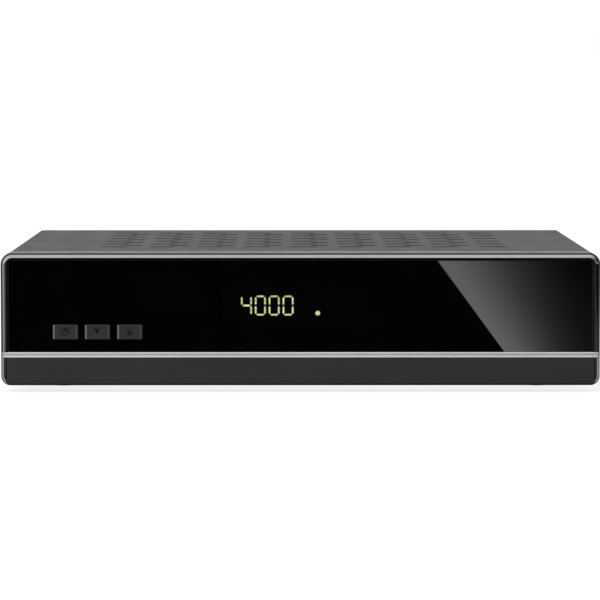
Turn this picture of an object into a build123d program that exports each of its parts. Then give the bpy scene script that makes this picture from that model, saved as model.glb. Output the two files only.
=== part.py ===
from build123d import *
from math import cos, radians, sin
import os

# Satellite television receiver: a wide, low steel box behind a moulded front with a drop-down flap.
# Millimetres, +Z up. The front faces -Y, and the origin is on the floor under the middle of the box.

os.makedirs("parts", exist_ok=True)

# ---- The whole receiver ----
width = 260.0
front_height = 57.7
body_depth = 180.8
connector_reach = 10.0
foot_height = 4.0
bezel_bottom = 3.0

# ---- Front moulding, layer by layer from the front ----
bezel_depth = 12.0
bezel_wall = 2.1
rim_width = 0.7
rim_rounding = 0.6
top_corner = 5.0
bottom_corner = 4.2
frame_width = 2.8
frame_depth = 1.5
panel_recess = 1.0
panel_thickness = 2.0
bulkhead_thickness = 1.8
strip_drop = 12.0
strip_height = 2.5

# ---- Flap ----
flap_thickness = 2.2
flap_gap = 0.3
flap_pivot_height = 2.4
hinge_pin_radius = 0.7
hinge_pin_play = 0.06

# ---- Keys ----
key_places = {"power": -102.1, "down": -88.2, "up": -74.2}
key_level = 26.3
key_width = 11.4
key_height = 6.4
key_gap = 0.3
key_corner = 0.7
key_proud = 0.9
plunger_radius = 1.7
plunger_play = 0.05

# ---- Display ----
digit_centres = [-23.3, -17.27, -11.24, -5.21]
digit_level = 37.7
digit_width = 5.3
digit_height = 9.07
segment_width = 1.05
window_x = -3.0
window_size = (62.0, 18.0)
led_place = (7.5, 34.35)
led_radius = 1.2
infrared_x = 20.0

# ---- Sheet metal ----
sheet = 0.8
cover_width = 254.8
cover_step = 0.1
cover_lip = 7.0
screw_radius = 1.2
screw_play = 0.05
screw_head_radius = 3.0
screw_head_height = 1.8

# ---- Vent grille of the cover ----
long_slot = 12.2
short_slot = 9.2
slot_height = 4.0
slot_column_pitch = 21.17
slot_row_pitch = 21.6
long_columns = 9
long_rows = 6
first_long_slot_x = -83.0
short_slot_shift = 7.1
first_row_from_front = 34.0

# ---- Circuit boards ----
board_thickness = 1.6
board_level = 7.3
front_board_gap = 4.8

# ---- Derived planes ----
front_y = -95.0
bezel_top = bezel_bottom + front_height
bezel_back = front_y + bezel_depth
half_width = width / 2
strip_bottom = bezel_bottom + strip_drop
strip_top = strip_bottom + strip_height
strip_half_length = half_width - rim_width - 0.1
frame_half_width = half_width - rim_width
frame_top = bezel_top - rim_width
frame_corner = top_corner - rim_width
window_half_width = frame_half_width - frame_width
window_top = frame_top - frame_width
window_corner = frame_corner - frame_width
panel_front = front_y + panel_recess
panel_back = panel_front + panel_thickness
bulkhead_back = panel_back + bulkhead_thickness
inner_half_width = half_width - bezel_wall
rear_wall_front = bezel_back - 2.0
collar_half_width = inner_half_width - 5.0
flap_front = front_y + 0.2
flap_back = flap_front + flap_thickness
flap_radius = flap_thickness / 2
flap_half_width = inner_half_width - flap_gap
flap_bottom = bezel_bottom
flap_top = strip_bottom - flap_gap
flap_pivot_y = flap_front + flap_radius
flap_pivot_z = flap_bottom + flap_pivot_height

tray_bottom = foot_height
tray_top = tray_bottom + sheet
cover_top = bezel_top - cover_step
cover_half = cover_width / 2
cover_inside = cover_half - sheet
rear_face = front_y + body_depth - sheet
panel_inside = rear_face - sheet
board_top = board_level + board_thickness
front_board_front = bulkhead_back + front_board_gap
front_board_back = front_board_front + board_thickness
connector_end = rear_face + connector_reach


def facing(y):
    # A sketch plane seen from the front: local x is X and local y is Z, at depth y.
    return Plane.XZ.offset(-y)


def rounded_front(shape_width, bottom, top, bottom_radius, top_radius):
    # A rectangle between two heights, with its own radius at the lower and at the upper corners.
    with BuildSketch(Plane.XY) as shape:
        with Locations((0, (bottom + top) / 2)):
            Rectangle(shape_width, top - bottom)
        if bottom_radius > 0:
            fillet(shape.vertices().group_by(Axis.Y)[0], bottom_radius)
        if top_radius > 0:
            fillet(shape.vertices().group_by(Axis.Y)[-1], top_radius)
    return shape.sketch


def block(low, high, mode=Mode.ADD):
    # A box between two opposite corners.
    middle = tuple((a + b) / 2 for a, b in zip(low, high))
    with Locations(middle):
        Box(high[0] - low[0], high[1] - low[1], high[2] - low[2], mode=mode)


def round_bar(x, y_from, y_to, z, radius, mode=Mode.ADD):
    # A cylinder along Y.
    with BuildSketch(facing(y_from)) as bar_end:
        with Locations((x, z)):
            Circle(radius)
    extrude(bar_end.sketch, amount=y_from - y_to, mode=mode)


# ================= Front =================

# ---- Front bezel: rim, window pocket, bulkhead, flap recess and snap hooks ----
screw_bosses = [(-112.0, 24.0), (-112.0, 52.0), (30.0, 24.0), (30.0, 52.0)]
hook_places = [-105.0, -35.0, 35.0, 105.0]
hook_top = 8.0
tray_front_flange_top = 6.4
card_slot_x = 77.5
card_slot_z = 12.0
front_usb_x = 113.75

with BuildPart() as front_bezel:
    with BuildSketch(facing(front_y)):
        add(rounded_front(width, bezel_bottom, bezel_top, bottom_corner, top_corner))
    extrude(amount=-bezel_depth)
    fillet(front_bezel.faces().sort_by(Axis.Y)[0].edges(), rim_rounding)
    # Pocket that takes the silver frame, and the deeper one for the window panel
    with BuildSketch(facing(front_y)):
        add(rounded_front(2 * frame_half_width, strip_top, frame_top, 0, frame_corner))
    extrude(amount=-frame_depth, mode=Mode.SUBTRACT)
    with BuildSketch(facing(front_y)):
        add(rounded_front(2 * window_half_width, strip_top, window_top, 0, window_corner))
    extrude(amount=front_y - panel_back, mode=Mode.SUBTRACT)
    # Seat of the trim strip, let into the side walls
    with BuildSketch(facing(front_y)):
        with Locations((0, (strip_bottom + strip_top) / 2)):
            Rectangle(2 * strip_half_length, strip_height)
    extrude(amount=front_y - panel_back, mode=Mode.SUBTRACT)
    # Room behind the bulkhead, and the collar opening that the cover butts against
    cavity_bottom = strip_bottom + 2.0
    with BuildSketch(facing(bulkhead_back)):
        add(rounded_front(2 * inner_half_width, cavity_bottom, bezel_top - bezel_wall, 0, 3.0))
    extrude(amount=bulkhead_back - rear_wall_front, mode=Mode.SUBTRACT)
    with BuildSketch(facing(rear_wall_front)):
        add(rounded_front(2 * collar_half_width, cavity_bottom, bezel_top - bezel_wall - 1.3, 0, 2.0))
    extrude(amount=rear_wall_front - bezel_back, mode=Mode.SUBTRACT)
    # Flap recess: open below in front, where the flap's lower edge swings in about its pins, with a
    # floor behind that swing
    flap_swing = (flap_pivot_height**2 + flap_radius**2) ** 0.5
    recess_step = flap_pivot_y + flap_swing + flap_gap
    recess_floor = bezel_bottom + 2.0
    with BuildSketch(facing(front_y)):
        add(rounded_front(2 * inner_half_width, bezel_bottom - 1.0, strip_bottom, 0, 0))
    extrude(amount=front_y - recess_step, mode=Mode.SUBTRACT)
    with BuildSketch(facing(recess_step)):
        add(rounded_front(2 * inner_half_width, recess_floor, strip_bottom, 1.0, 0))
    extrude(amount=recess_step - rear_wall_front, mode=Mode.SUBTRACT)
    # Card slot and USB cut-out in the wall behind the flap
    with BuildSketch(facing(rear_wall_front)):
        with Locations((card_slot_x, card_slot_z)):
            Rectangle(56.0, 2.4)
        with Locations((front_usb_x, board_top + 2.95)):
            Rectangle(13.7, 6.5)
    extrude(amount=rear_wall_front - bezel_back, mode=Mode.SUBTRACT)
    # Windows in the bulkhead for the display and the three keys
    with BuildSketch(facing(panel_back)):
        with Locations((window_x, digit_level)):
            Rectangle(window_size[0] - 4.0, window_size[1] - 4.0)
        for key_x in key_places.values():
            with Locations((key_x, key_level)):
                Rectangle(key_width + 2 * key_gap, key_height + 2.8)
    extrude(amount=panel_back - bulkhead_back, mode=Mode.SUBTRACT)
    # Bosses that carry the front circuit board
    with BuildSketch(facing(bulkhead_back)):
        with Locations(*screw_bosses):
            Circle(3.0)
            Circle(screw_radius + screw_play, mode=Mode.SUBTRACT)
    extrude(amount=-front_board_gap)
    # Blind holes for the flap's hinge pins
    with BuildSketch(Plane.YZ.offset(-inner_half_width - 0.9)):
        with Locations((flap_pivot_y, flap_pivot_z)):
            Circle(hinge_pin_radius + hinge_pin_play)
    extrude(amount=2 * inner_half_width + 1.8, mode=Mode.SUBTRACT)
    # Snap hooks that reach over the front flange of the chassis tray
    for hook_x in hook_places:
        with BuildSketch(Plane.YZ.offset(hook_x - 5.0)):
            with BuildLine():
                Polyline(
                    (bezel_back, tray_front_flange_top),
                    (bezel_back + sheet + 0.2, tray_front_flange_top),
                    (bezel_back + sheet + 0.2, tray_top + 0.3),
                    (bezel_back + 3.0, tray_top + 0.3),
                    (bezel_back + 6.5, tray_front_flange_top),
                    (bezel_back + 6.5, hook_top),
                    (bezel_back, hook_top),
                    close=True,
                )
            make_face()
        extrude(amount=10.0)

front_bezel.part.label = "front_bezel"
export_step(front_bezel.part, "parts/front_bezel.step")

# ---- Silver frame: a stirrup round the window, its inner edge sloping down to the panel ----
slope_angle = 50.0

with BuildPart() as silver_frame:
    with BuildSketch(facing(front_y)):
        add(rounded_front(2 * frame_half_width, strip_top, frame_top, 0, frame_corner))
    extrude(amount=-frame_depth)
    with BuildSketch(facing(front_y + frame_depth)):
        add(rounded_front(2 * window_half_width, strip_top - 4.0, window_top, 0, window_corner))
    extrude(amount=frame_depth - panel_recess, mode=Mode.SUBTRACT)
    with BuildSketch(facing(panel_front)):
        add(rounded_front(2 * window_half_width, strip_top - 4.0, window_top, 0, window_corner))
    extrude(amount=panel_recess, taper=-slope_angle, mode=Mode.SUBTRACT)

silver_frame.part.label = "silver_frame"
export_step(silver_frame.part, "parts/silver_frame.step")

# ---- Gloss black window panel, with openings for the keys and the display window ----
with BuildPart() as gloss_panel:
    with BuildSketch(facing(panel_front)):
        add(rounded_front(2 * window_half_width, strip_top, window_top, 0, window_corner))
        for key_x in key_places.values():
            with Locations((key_x, key_level)):
                RectangleRounded(
                    key_width + 2 * key_gap,
                    key_height + 2 * key_gap,
                    key_corner + key_gap,
                    mode=Mode.SUBTRACT,
                )
        with Locations((window_x, digit_level)):
            RectangleRounded(window_size[0], window_size[1], 1.0, mode=Mode.SUBTRACT)
    extrude(amount=-panel_thickness)

gloss_panel.part.label = "gloss_panel"
export_step(gloss_panel.part, "parts/gloss_panel.step")

# ---- Smoked display window, flush in the panel ----
with BuildPart() as display_window:
    with BuildSketch(facing(panel_front)):
        with Locations((window_x, digit_level)):
            RectangleRounded(window_size[0], window_size[1], 1.0)
    extrude(amount=-panel_thickness)

display_window.part.label = "display_window"
export_step(display_window.part, "parts/display_window.step")

# ---- Trim strip: two rounded ridges with a groove between them ----
ridge_foot = front_y + 0.5
lower_ridge_top = strip_bottom + 1.2
upper_ridge_bottom = strip_bottom + 1.5

with BuildPart() as trim_strip:
    with BuildSketch(Plane.YZ):
        with BuildLine():
            Polyline(
                (ridge_foot, strip_top),
                (panel_back, strip_top),
                (panel_back, strip_bottom),
                (ridge_foot, strip_bottom),
            )
            ThreePointArc(
                (ridge_foot, strip_bottom),
                (front_y, (strip_bottom + lower_ridge_top) / 2),
                (ridge_foot, lower_ridge_top),
            )
            ThreePointArc(
                (ridge_foot, lower_ridge_top),
                (ridge_foot + 0.2, (lower_ridge_top + upper_ridge_bottom) / 2),
                (ridge_foot, upper_ridge_bottom),
            )
            ThreePointArc(
                (ridge_foot, upper_ridge_bottom),
                (front_y, (upper_ridge_bottom + strip_top) / 2),
                (ridge_foot, strip_top),
            )
        make_face()
    extrude(amount=strip_half_length, both=True)

trim_strip.part.label = "trim_strip"
export_step(trim_strip.part, "parts/trim_strip.step")

# ---- Front flap: half-round lower edge, hinge pins above it, and two stiffening ribs behind ----
rib_depth = 0.8
rib_levels = [flap_pivot_z + 3.4, flap_pivot_z + 6.6]
edge_level = flap_bottom + flap_radius

with BuildPart() as front_flap:
    with BuildSketch(Plane.YZ):
        with Locations((flap_pivot_y, edge_level)):
            Circle(flap_radius)
        with BuildLine():
            Polyline(
                (flap_front, edge_level),
                (flap_front, flap_top - 0.3),
                (flap_front + 0.3, flap_top),
                (flap_back - 0.6, flap_top),
                (flap_back, flap_top - 0.6),
                (flap_back, edge_level),
                close=True,
            )
        make_face()
        for rib_level in rib_levels:
            with Locations((flap_back + rib_depth / 2, rib_level)):
                Rectangle(rib_depth, 0.9)
    extrude(amount=flap_half_width, both=True)
    # Seen from the front, the lower corners carry on the bezel's rounded ones
    with BuildSketch(facing(front_y)):
        add(rounded_front(2 * flap_half_width, flap_bottom, flap_top, 0, 0.4))
        add(rounded_front(width, bezel_bottom, bezel_top, bottom_corner, 0), mode=Mode.INTERSECT)
    extrude(amount=-6.0, mode=Mode.INTERSECT)
    for side in (-1, 1):
        with BuildSketch(Plane.YZ.offset(side * (flap_half_width - 1.5))):
            with Locations((flap_pivot_y, flap_pivot_z)):
                Circle(hinge_pin_radius)
        extrude(amount=side * 2.6)

front_flap.part.label = "front_flap"
export_step(front_flap.part, "parts/front_flap.step")

# ---- Keys: a bevelled cap, a retaining flange behind the panel and a stem, with the switch plunger ----
key_front = panel_front - key_proud
flange_front = panel_back + 0.3
flange_back = flange_front + 1.0
plunger_front = flange_back + 0.7
switch_front = front_board_front - 3.4
plunger_back = switch_front + 1.0

for key_name, key_x in key_places.items():
    with BuildPart() as key_cap:
        with BuildSketch(facing(key_front)):
            with Locations((key_x, key_level)):
                RectangleRounded(key_width, key_height, key_corner)
        extrude(amount=key_front - flange_front)
        chamfer(key_cap.faces().sort_by(Axis.Y)[0].edges(), 0.45)
        with BuildSketch(facing(flange_front)):
            with Locations((key_x, key_level)):
                Rectangle(key_width, key_height + 2.2)
        extrude(amount=flange_front - flange_back)
        with BuildSketch(facing(flange_back)):
            with Locations((key_x, key_level)):
                Circle(2.0)
        extrude(amount=flange_back - plunger_front)
    key_cap.part.label = f"button_{key_name}"
    export_step(key_cap.part, f"parts/button_{key_name}.step")

    with BuildPart() as plunger:
        round_bar(key_x, plunger_front, plunger_back, key_level, plunger_radius)
    plunger.part.label = f"plunger_{key_name}"
    export_step(plunger.part, f"parts/plunger_{key_name}.step")

# ---- Tact switches on the front board, each with a well for its plunger ----
with BuildPart() as tact_switches:
    with BuildSketch(facing(switch_front)):
        for key_x in key_places.values():
            with Locations((key_x, key_level)):
                Rectangle(6.0, 6.0)
    extrude(amount=switch_front - front_board_front)
    with BuildSketch(facing(switch_front)):
        for key_x in key_places.values():
            with Locations((key_x, key_level)):
                Circle(plunger_radius + plunger_play)
    extrude(amount=-2.0, mode=Mode.SUBTRACT)

tact_switches.part.label = "tact_switches"
export_step(tact_switches.part, "parts/tact_switches.step")

# ---- Front circuit board ----
with BuildPart() as front_pcb:
    with BuildSketch(facing(front_board_front)):
        with Locations((-41.0, 38.0)):
            Rectangle(150.0, 34.0)
        with Locations(*screw_bosses):
            Circle(screw_radius + 0.4, mode=Mode.SUBTRACT)
    extrude(amount=-board_thickness)

front_pcb.part.label = "front_pcb"
export_step(front_pcb.part, "parts/front_pcb.step")

# ---- Display module: a block with the four digits on its face ----
module_front = panel_back + 0.2
display_x = sum(digit_centres) / len(digit_centres)

with BuildPart() as display_module:
    with BuildSketch(facing(module_front)):
        with Locations((display_x, digit_level)):
            Rectangle(28.0, 12.8)
    extrude(amount=module_front - front_board_front)

display_module.part.label = "display_module"
export_step(display_module.part, "parts/display_module.step")


# ---- Lit segments of the number 4000 ----
def segment_outline(segment):
    # Corner points of one segment about the digit's centre. Letters run clockwise from the top, g is the bar.
    w = digit_width / 2
    h = digit_height / 2
    t = segment_width
    mitre = 0.2
    if segment == "g":
        tip = w - 0.45
        shoulder = tip - t / 2
        upper = [(-tip, 0), (-shoulder, t / 2), (shoulder, t / 2), (tip, 0)]
        return upper + [(shoulder, -t / 2), (-shoulder, -t / 2)]
    if segment in "ad":
        outer = w - 0.75
        inner = w - t - 0.25
        left_side = [(-inner, h - t), (-outer, h - mitre), (0.1 - outer, h)]
        bar = left_side + [(-x, z) for x, z in reversed(left_side)]
        return bar if segment == "a" else [(x, -z) for x, z in bar]
    post = [(-w, 0.14), (-w, h - 1.0), (0.6 - w, h - 2 * mitre), (t - w, h - t - 0.05), (t - w, 0.75)]
    sign_x = 1 if segment in "ef" else -1
    sign_z = 1 if segment in "bf" else -1
    return [(sign_x * x, sign_z * z) for x, z in post]


lit_segments = ["fgbc", "abcdef", "abcdef", "abcdef"]

with BuildPart() as display_segments:
    with BuildSketch(facing(panel_back)):
        for digit_x, segments in zip(digit_centres, lit_segments):
            for segment in segments:
                corners = [(digit_x + x, digit_level + z) for x, z in segment_outline(segment)]
                with BuildLine():
                    Polyline(*corners, close=True)
                make_face()
    extrude(amount=panel_back - module_front)

display_segments.part.label = "display_segments"
export_step(display_segments.part, "parts/display_segments.step")

# ---- Status light and infrared eye ----
with BuildPart() as status_led:
    round_bar(led_place[0], panel_back, front_board_front, led_place[1], led_radius)
    fillet(status_led.faces().sort_by(Axis.Y)[0].edges(), 0.25)

status_led.part.label = "status_led"
export_step(status_led.part, "parts/status_led.step")

with BuildPart() as infrared_eye:
    block(
        (infrared_x - 2.7, front_board_front - 4.0, digit_level - 3.5),
        (infrared_x + 2.7, front_board_front, digit_level + 3.5),
    )
    with Locations((infrared_x, front_board_front - 4.0, digit_level)):
        Sphere(2.0)

infrared_eye.part.label = "infrared_eye"
export_step(infrared_eye.part, "parts/infrared_eye.step")

# ---- Screws of the front board ----
with BuildPart() as front_board_screws:
    for boss_x, boss_z in screw_bosses:
        round_bar(boss_x, front_board_back - 5.0, front_board_back, boss_z, screw_radius)
        round_bar(boss_x, front_board_back, front_board_back + 1.6, boss_z, 2.6)

front_board_screws.part.label = "front_board_screws"
export_step(front_board_screws.part, "parts/front_board_screws.step")

# ---- Flat ribbon cable from the front board to the main board ----
ribbon_x = -20.0
ribbon_start = 27.0
ribbon_level = 14.0
ribbon_bend_y = -74.0
ribbon_end_y = -15.0

with BuildPart() as ribbon_cable:
    with BuildSketch(Plane.YZ.offset(ribbon_x)):
        with BuildLine():
            FilletPolyline(
                (front_board_back, ribbon_start),
                (ribbon_bend_y, ribbon_start),
                (ribbon_bend_y + 6.0, ribbon_level),
                (ribbon_end_y, ribbon_level),
                (ribbon_end_y, board_top),
                radius=4.0,
            )
        trace(line_width=0.6)
    extrude(amount=9.0, both=True)

ribbon_cable.part.label = "ribbon_cable"
export_step(ribbon_cable.part, "parts/ribbon_cable.step")

# ================= Case =================

tray_side_height = 14.0
tray_rear_height = 7.0
side_screw_places = [(-42.0, 10.0), (46.0, 10.0)]
rear_screw_level = 56.4
rear_screw_places = [(x, rear_screw_level) for x in (-85.0, 0.0, 85.0)]
standoffs = [
    (-46.0, -12.0),
    (-46.0, 60.0),
    (26.0, -12.0),
    (30.0, 60.0),
    (66.0, 56.0),
    (44.2, -60.0),
    (114.0, -62.0),
]
supply_standoffs = [(-116.0, -26.0), (-66.0, -26.0), (-116.0, 76.0), (-66.0, 56.0)]
foot_places = [(side * 105.0, y) for side in (-1, 1) for y in (-60.0, 70.0)]
foot_radius = 7.0

# ---- Chassis tray: floor, low flanges, stand-offs and floor vents ----
with BuildPart() as chassis_tray:
    with BuildSketch(Plane.XY.offset(tray_bottom)):
        with Locations((0, (bezel_back + panel_inside) / 2)):
            Rectangle(2 * cover_inside, panel_inside - bezel_back)
    extrude(amount=sheet)
    flange_inside = cover_inside - sheet
    for wall_x in (-cover_inside, flange_inside):
        block((wall_x, bezel_back, tray_top), (wall_x + sheet, panel_inside, tray_side_height))
    block((-flange_inside, bezel_back, tray_top), (flange_inside, bezel_back + sheet, tray_front_flange_top))
    block((-flange_inside, panel_inside - sheet, tray_top), (flange_inside, panel_inside, tray_rear_height))
    # Pilot holes for the side screws
    with BuildSketch(Plane.YZ.offset(-cover_inside)):
        with Locations(*side_screw_places):
            Circle(screw_radius + screw_play)
    extrude(amount=2 * cover_inside, mode=Mode.SUBTRACT)
    # Two fields of floor vents
    with BuildSketch(Plane.XY.offset(tray_bottom)):
        for field_x in (-90.0, 60.0):
            with Locations((field_x, 18.0)):
                with GridLocations(0, 7.0, 1, 7):
                    SlotOverall(34.0, 3.0)
    extrude(amount=sheet, mode=Mode.SUBTRACT)
    # Drawn stand-offs under the boards
    with BuildSketch(Plane.XY.offset(tray_top)):
        with Locations(*standoffs, *supply_standoffs):
            Circle(3.6)
            Circle(screw_radius + screw_play, mode=Mode.SUBTRACT)
    extrude(amount=board_level - tray_top)

chassis_tray.part.label = "chassis_tray"
export_step(chassis_tray.part, "parts/chassis_tray.step")

# ---- Rubber feet: round, with a worn-in chamfer at the floor ----
with BuildPart() as rubber_feet:
    with BuildSketch(Plane.XY):
        with Locations(*foot_places):
            Circle(foot_radius)
    extrude(amount=foot_height)
    chamfer(rubber_feet.faces().filter_by(Axis.Z).group_by(Axis.Z)[0].edges(), 0.8)

rubber_feet.part.label = "rubber_feet"
export_step(rubber_feet.part, "parts/rubber_feet.step")

# ---- Top cover: a folded steel U with the punched vent grille, side vents and a rear lip ----
cover_length = rear_face + sheet - bezel_back
fold_inside = 0.8
first_row_y = bezel_back + first_row_from_front

with BuildPart() as top_cover:
    with BuildSketch(facing(bezel_back)):
        add(rounded_front(cover_width, tray_bottom, cover_top, 0, fold_inside + sheet))
        inner_outline = rounded_front(2 * cover_inside, tray_bottom, cover_top - sheet, 0, fold_inside)
        add(inner_outline, mode=Mode.SUBTRACT)
    extrude(amount=-cover_length)
    lip_bottom = cover_top - cover_lip
    block((-cover_inside, rear_face, lip_bottom), (cover_inside, rear_face + sheet, cover_top - sheet))
    # Long slots stand in straight rows, and a short slot fills the middle of each gap between four of them
    with BuildSketch(Plane.XY.offset(cover_top)):
        for row in range(long_rows):
            for column in range(long_columns):
                slot_x = first_long_slot_x + column * slot_column_pitch
                slot_y = first_row_y + row * slot_row_pitch
                with Locations((slot_x, slot_y)):
                    SlotOverall(long_slot, slot_height)
                if row < long_rows - 1 and column < long_columns - 1:
                    with Locations((slot_x + short_slot_shift, slot_y + slot_row_pitch / 2)):
                        SlotOverall(short_slot, slot_height)
    extrude(amount=-sheet, mode=Mode.SUBTRACT)
    # A row of upright vents in each side wall
    with BuildSketch(Plane.YZ):
        with Locations((8.0, 36.0)):
            with GridLocations(7.0, 0, 12, 1):
                SlotOverall(20.0, 3.0, rotation=90)
    extrude(amount=half_width, both=True, mode=Mode.SUBTRACT)
    # Clearance holes for the side and rear screws
    with BuildSketch(Plane.YZ):
        with Locations(*side_screw_places):
            Circle(screw_radius + 0.4)
    extrude(amount=half_width, both=True, mode=Mode.SUBTRACT)
    with BuildSketch(facing(rear_face)):
        with Locations(*rear_screw_places):
            Circle(screw_radius + 0.4)
    extrude(amount=-sheet, mode=Mode.SUBTRACT)

top_cover.part.label = "top_cover"
export_step(top_cover.part, "parts/top_cover.step")

# ---- Case screws: two at each side and three in the rear lip ----
with BuildPart() as case_screws:
    for side in (-1, 1):
        with BuildSketch(Plane.YZ.offset(side * cover_half)):
            with Locations(*side_screw_places):
                Circle(screw_head_radius)
        extrude(amount=side * screw_head_height)
        with BuildSketch(Plane.YZ.offset(side * cover_half)):
            with Locations(*side_screw_places):
                Circle(screw_radius)
        extrude(amount=-side * 4.0)
    lip_face = rear_face + sheet
    for screw_x, screw_z in rear_screw_places:
        round_bar(screw_x, lip_face, lip_face + screw_head_height, screw_z, screw_head_radius)
        round_bar(screw_x, rear_face - 3.0, lip_face, screw_z, screw_radius)
    # The outer rim of every head is rounded over
    outer_faces = [
        case_screws.faces().filter_by(Axis.X).group_by(Axis.X)[0],
        case_screws.faces().filter_by(Axis.X).group_by(Axis.X)[-1],
        case_screws.faces().filter_by(Axis.Y).group_by(Axis.Y)[-1],
    ]
    for head_faces in outer_faces:
        fillet(head_faces.edges(), 0.9)

case_screws.part.label = "case_screws"
export_step(case_screws.part, "parts/case_screws.step")

# ================= Sockets on the rear =================

aerial_places = {"lnb_in": 106.0, "lnb_out": 86.0}
aerial_level = 20.5
aerial_radius = 4.7
aerial_neck_radius = 4.5
aerial_bore = 3.4
nut_thickness = 2.2
nut_across_flats = 11.0
lan_x = 62.0
lan_size = (16.0, 21.0, 13.4)
rear_usb_x = 42.0
usb_level = board_top + 2.95
usb_outside = (13.1, 5.9)
usb_inside = (12.3, 5.1)
hdmi_x = 23.5
hdmi_level = board_top + 3.0
hdmi_outside = (15.0, 5.6)
hdmi_inside = (14.0, 4.6)
scart_x = -13.0
scart_level = board_top + 7.5
scart_size = (48.0, 14.0)
phono_x = -45.5
phono_levels = [16.5, 30.5, 44.5]
phono_radius = 4.15
phono_bore = 3.4
phono_collar = 5.2
switch_x = -76.0
inlet_x = -102.0
mains_level = 26.0
switch_body = (14.0, 19.0)
inlet_body = (21.0, 13.4)
panel_clearance = 0.2
socket_face = rear_face + 1.0


def scart_outline(shape_width, shape_height, mode=Mode.ADD):
    # The lopsided socket outline: a bar with one long slanted corner, drawn about its centre.
    w = shape_width / 2
    h = shape_height / 2
    with BuildLine() as outline:
        FilletPolyline((-w, -h), (w - 0.9 * h, -h), (w, -0.1 * h), (w, h), (-w, h), radius=0.8, close=True)
    make_face(outline.edges(), mode=mode)


# ---- Rear panel: flat plate with the socket cut-outs and a field of vents ----
with BuildPart() as rear_panel:
    with BuildSketch(facing(panel_inside)):
        add(rounded_front(2 * cover_inside, tray_bottom, cover_top - sheet, 0, fold_inside))
        with Locations(*[(x, aerial_level) for x in aerial_places.values()]):
            Circle(aerial_radius + panel_clearance, mode=Mode.SUBTRACT)
        socket_openings = [
            (lan_x, board_top + lan_size[2] / 2, lan_size[0], lan_size[2]),
            (rear_usb_x, usb_level, *usb_outside),
            (hdmi_x, hdmi_level, *hdmi_outside),
            (scart_x, scart_level, *scart_size),
            (switch_x, mains_level, *switch_body),
            (inlet_x, mains_level, *inlet_body),
        ]
        for opening_x, opening_z, opening_width, opening_height in socket_openings:
            with Locations((opening_x, opening_z)):
                Rectangle(
                    opening_width + 2 * panel_clearance,
                    opening_height + 2 * panel_clearance,
                    mode=Mode.SUBTRACT,
                )
        with Locations(*[(phono_x, z) for z in phono_levels]):
            Circle(phono_collar + panel_clearance, mode=Mode.SUBTRACT)
        with Locations(*rear_screw_places):
            Circle(screw_radius + screw_play, mode=Mode.SUBTRACT)
        with Locations((12.0, 42.0)):
            with GridLocations(6.5, 0, 14, 1):
                SlotOverall(14.0, 2.8, rotation=90, mode=Mode.SUBTRACT)
    extrude(amount=-sheet)

rear_panel.part.label = "rear_panel"
export_step(rear_panel.part, "parts/rear_panel.step")

# ---- Tuner can and its two aerial connectors ----
can_left = 74.0
can_right = 118.0
can_front = 42.0
can_back = panel_inside - panel_clearance
can_top = 29.0
can_wall = 0.6
can_lid = 1.1

with BuildPart() as tuner_can:
    block((can_left, can_front, board_top), (can_right, can_back, can_top))
    block(
        (can_left + can_wall, can_front + can_wall, board_top),
        (can_right - can_wall, can_back - can_wall, can_top - can_lid),
        mode=Mode.SUBTRACT,
    )
    # Shallow embossed panel on the lid
    with BuildSketch(Plane.XY.offset(can_top)):
        with Locations(((can_left + can_right) / 2, (can_front + can_back) / 2)):
            RectangleRounded(36.0, 32.0, 2.0)
    extrude(amount=-0.5, mode=Mode.SUBTRACT)

tuner_can.part.label = "tuner_can"
export_step(tuner_can.part, "parts/tuner_can.step")

# The thread runs from just behind the nut to the mouth, on a sleeve with a slightly thinner neck
thread_start = rear_face + nut_thickness + 0.4

for aerial_name, aerial_x in aerial_places.items():
    with BuildPart() as aerial_sleeve:
        round_bar(aerial_x, can_back, thread_start, aerial_level, aerial_neck_radius)
        round_bar(aerial_x, thread_start, connector_end, aerial_level, aerial_radius)
        chamfer(aerial_sleeve.faces().sort_by(Axis.Y)[-1].edges(), 0.4)
        round_bar(aerial_x, can_back, connector_end, aerial_level, aerial_bore, mode=Mode.SUBTRACT)
    aerial_sleeve.part.label = f"{aerial_name}_connector"
    export_step(aerial_sleeve.part, f"parts/{aerial_name}_connector.step")

# White insulators, each with the small hole that takes the cable's inner wire
insulator_end = connector_end - 0.8

with BuildPart() as aerial_insulators:
    for aerial_x in aerial_places.values():
        round_bar(aerial_x, can_back, insulator_end, aerial_level, aerial_bore)
        round_bar(aerial_x, insulator_end - 5.2, insulator_end, aerial_level, 0.6, mode=Mode.SUBTRACT)

aerial_insulators.part.label = "aerial_insulators"
export_step(aerial_insulators.part, "parts/aerial_insulators.step")

with BuildPart() as aerial_nuts:
    with BuildSketch(facing(rear_face)):
        with Locations(*[(x, aerial_level) for x in aerial_places.values()]):
            RegularPolygon(nut_across_flats / 2, 6, major_radius=False)
            Circle(aerial_neck_radius, mode=Mode.SUBTRACT)
    extrude(amount=-nut_thickness)

aerial_nuts.part.label = "aerial_nuts"
export_step(aerial_nuts.part, "parts/aerial_nuts.step")

# ---- Network socket: keyed cavity with its latch slot ----
lan_cavity_depth = 13.0

with BuildPart() as lan_socket:
    block(
        (lan_x - lan_size[0] / 2, socket_face - lan_size[1], board_top),
        (lan_x + lan_size[0] / 2, socket_face, board_top + lan_size[2]),
    )
    with BuildSketch(facing(socket_face)):
        with Locations((lan_x, board_top + 7.6)):
            Rectangle(11.9, 7.6)
        with Locations((lan_x, board_top + 3.0)):
            Rectangle(6.2, 3.0)
        with Locations((lan_x, board_top + 1.7)):
            Rectangle(4.0, 1.6)
    extrude(amount=lan_cavity_depth, mode=Mode.SUBTRACT)

lan_socket.part.label = "lan_socket"
export_step(lan_socket.part, "parts/lan_socket.step")


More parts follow.
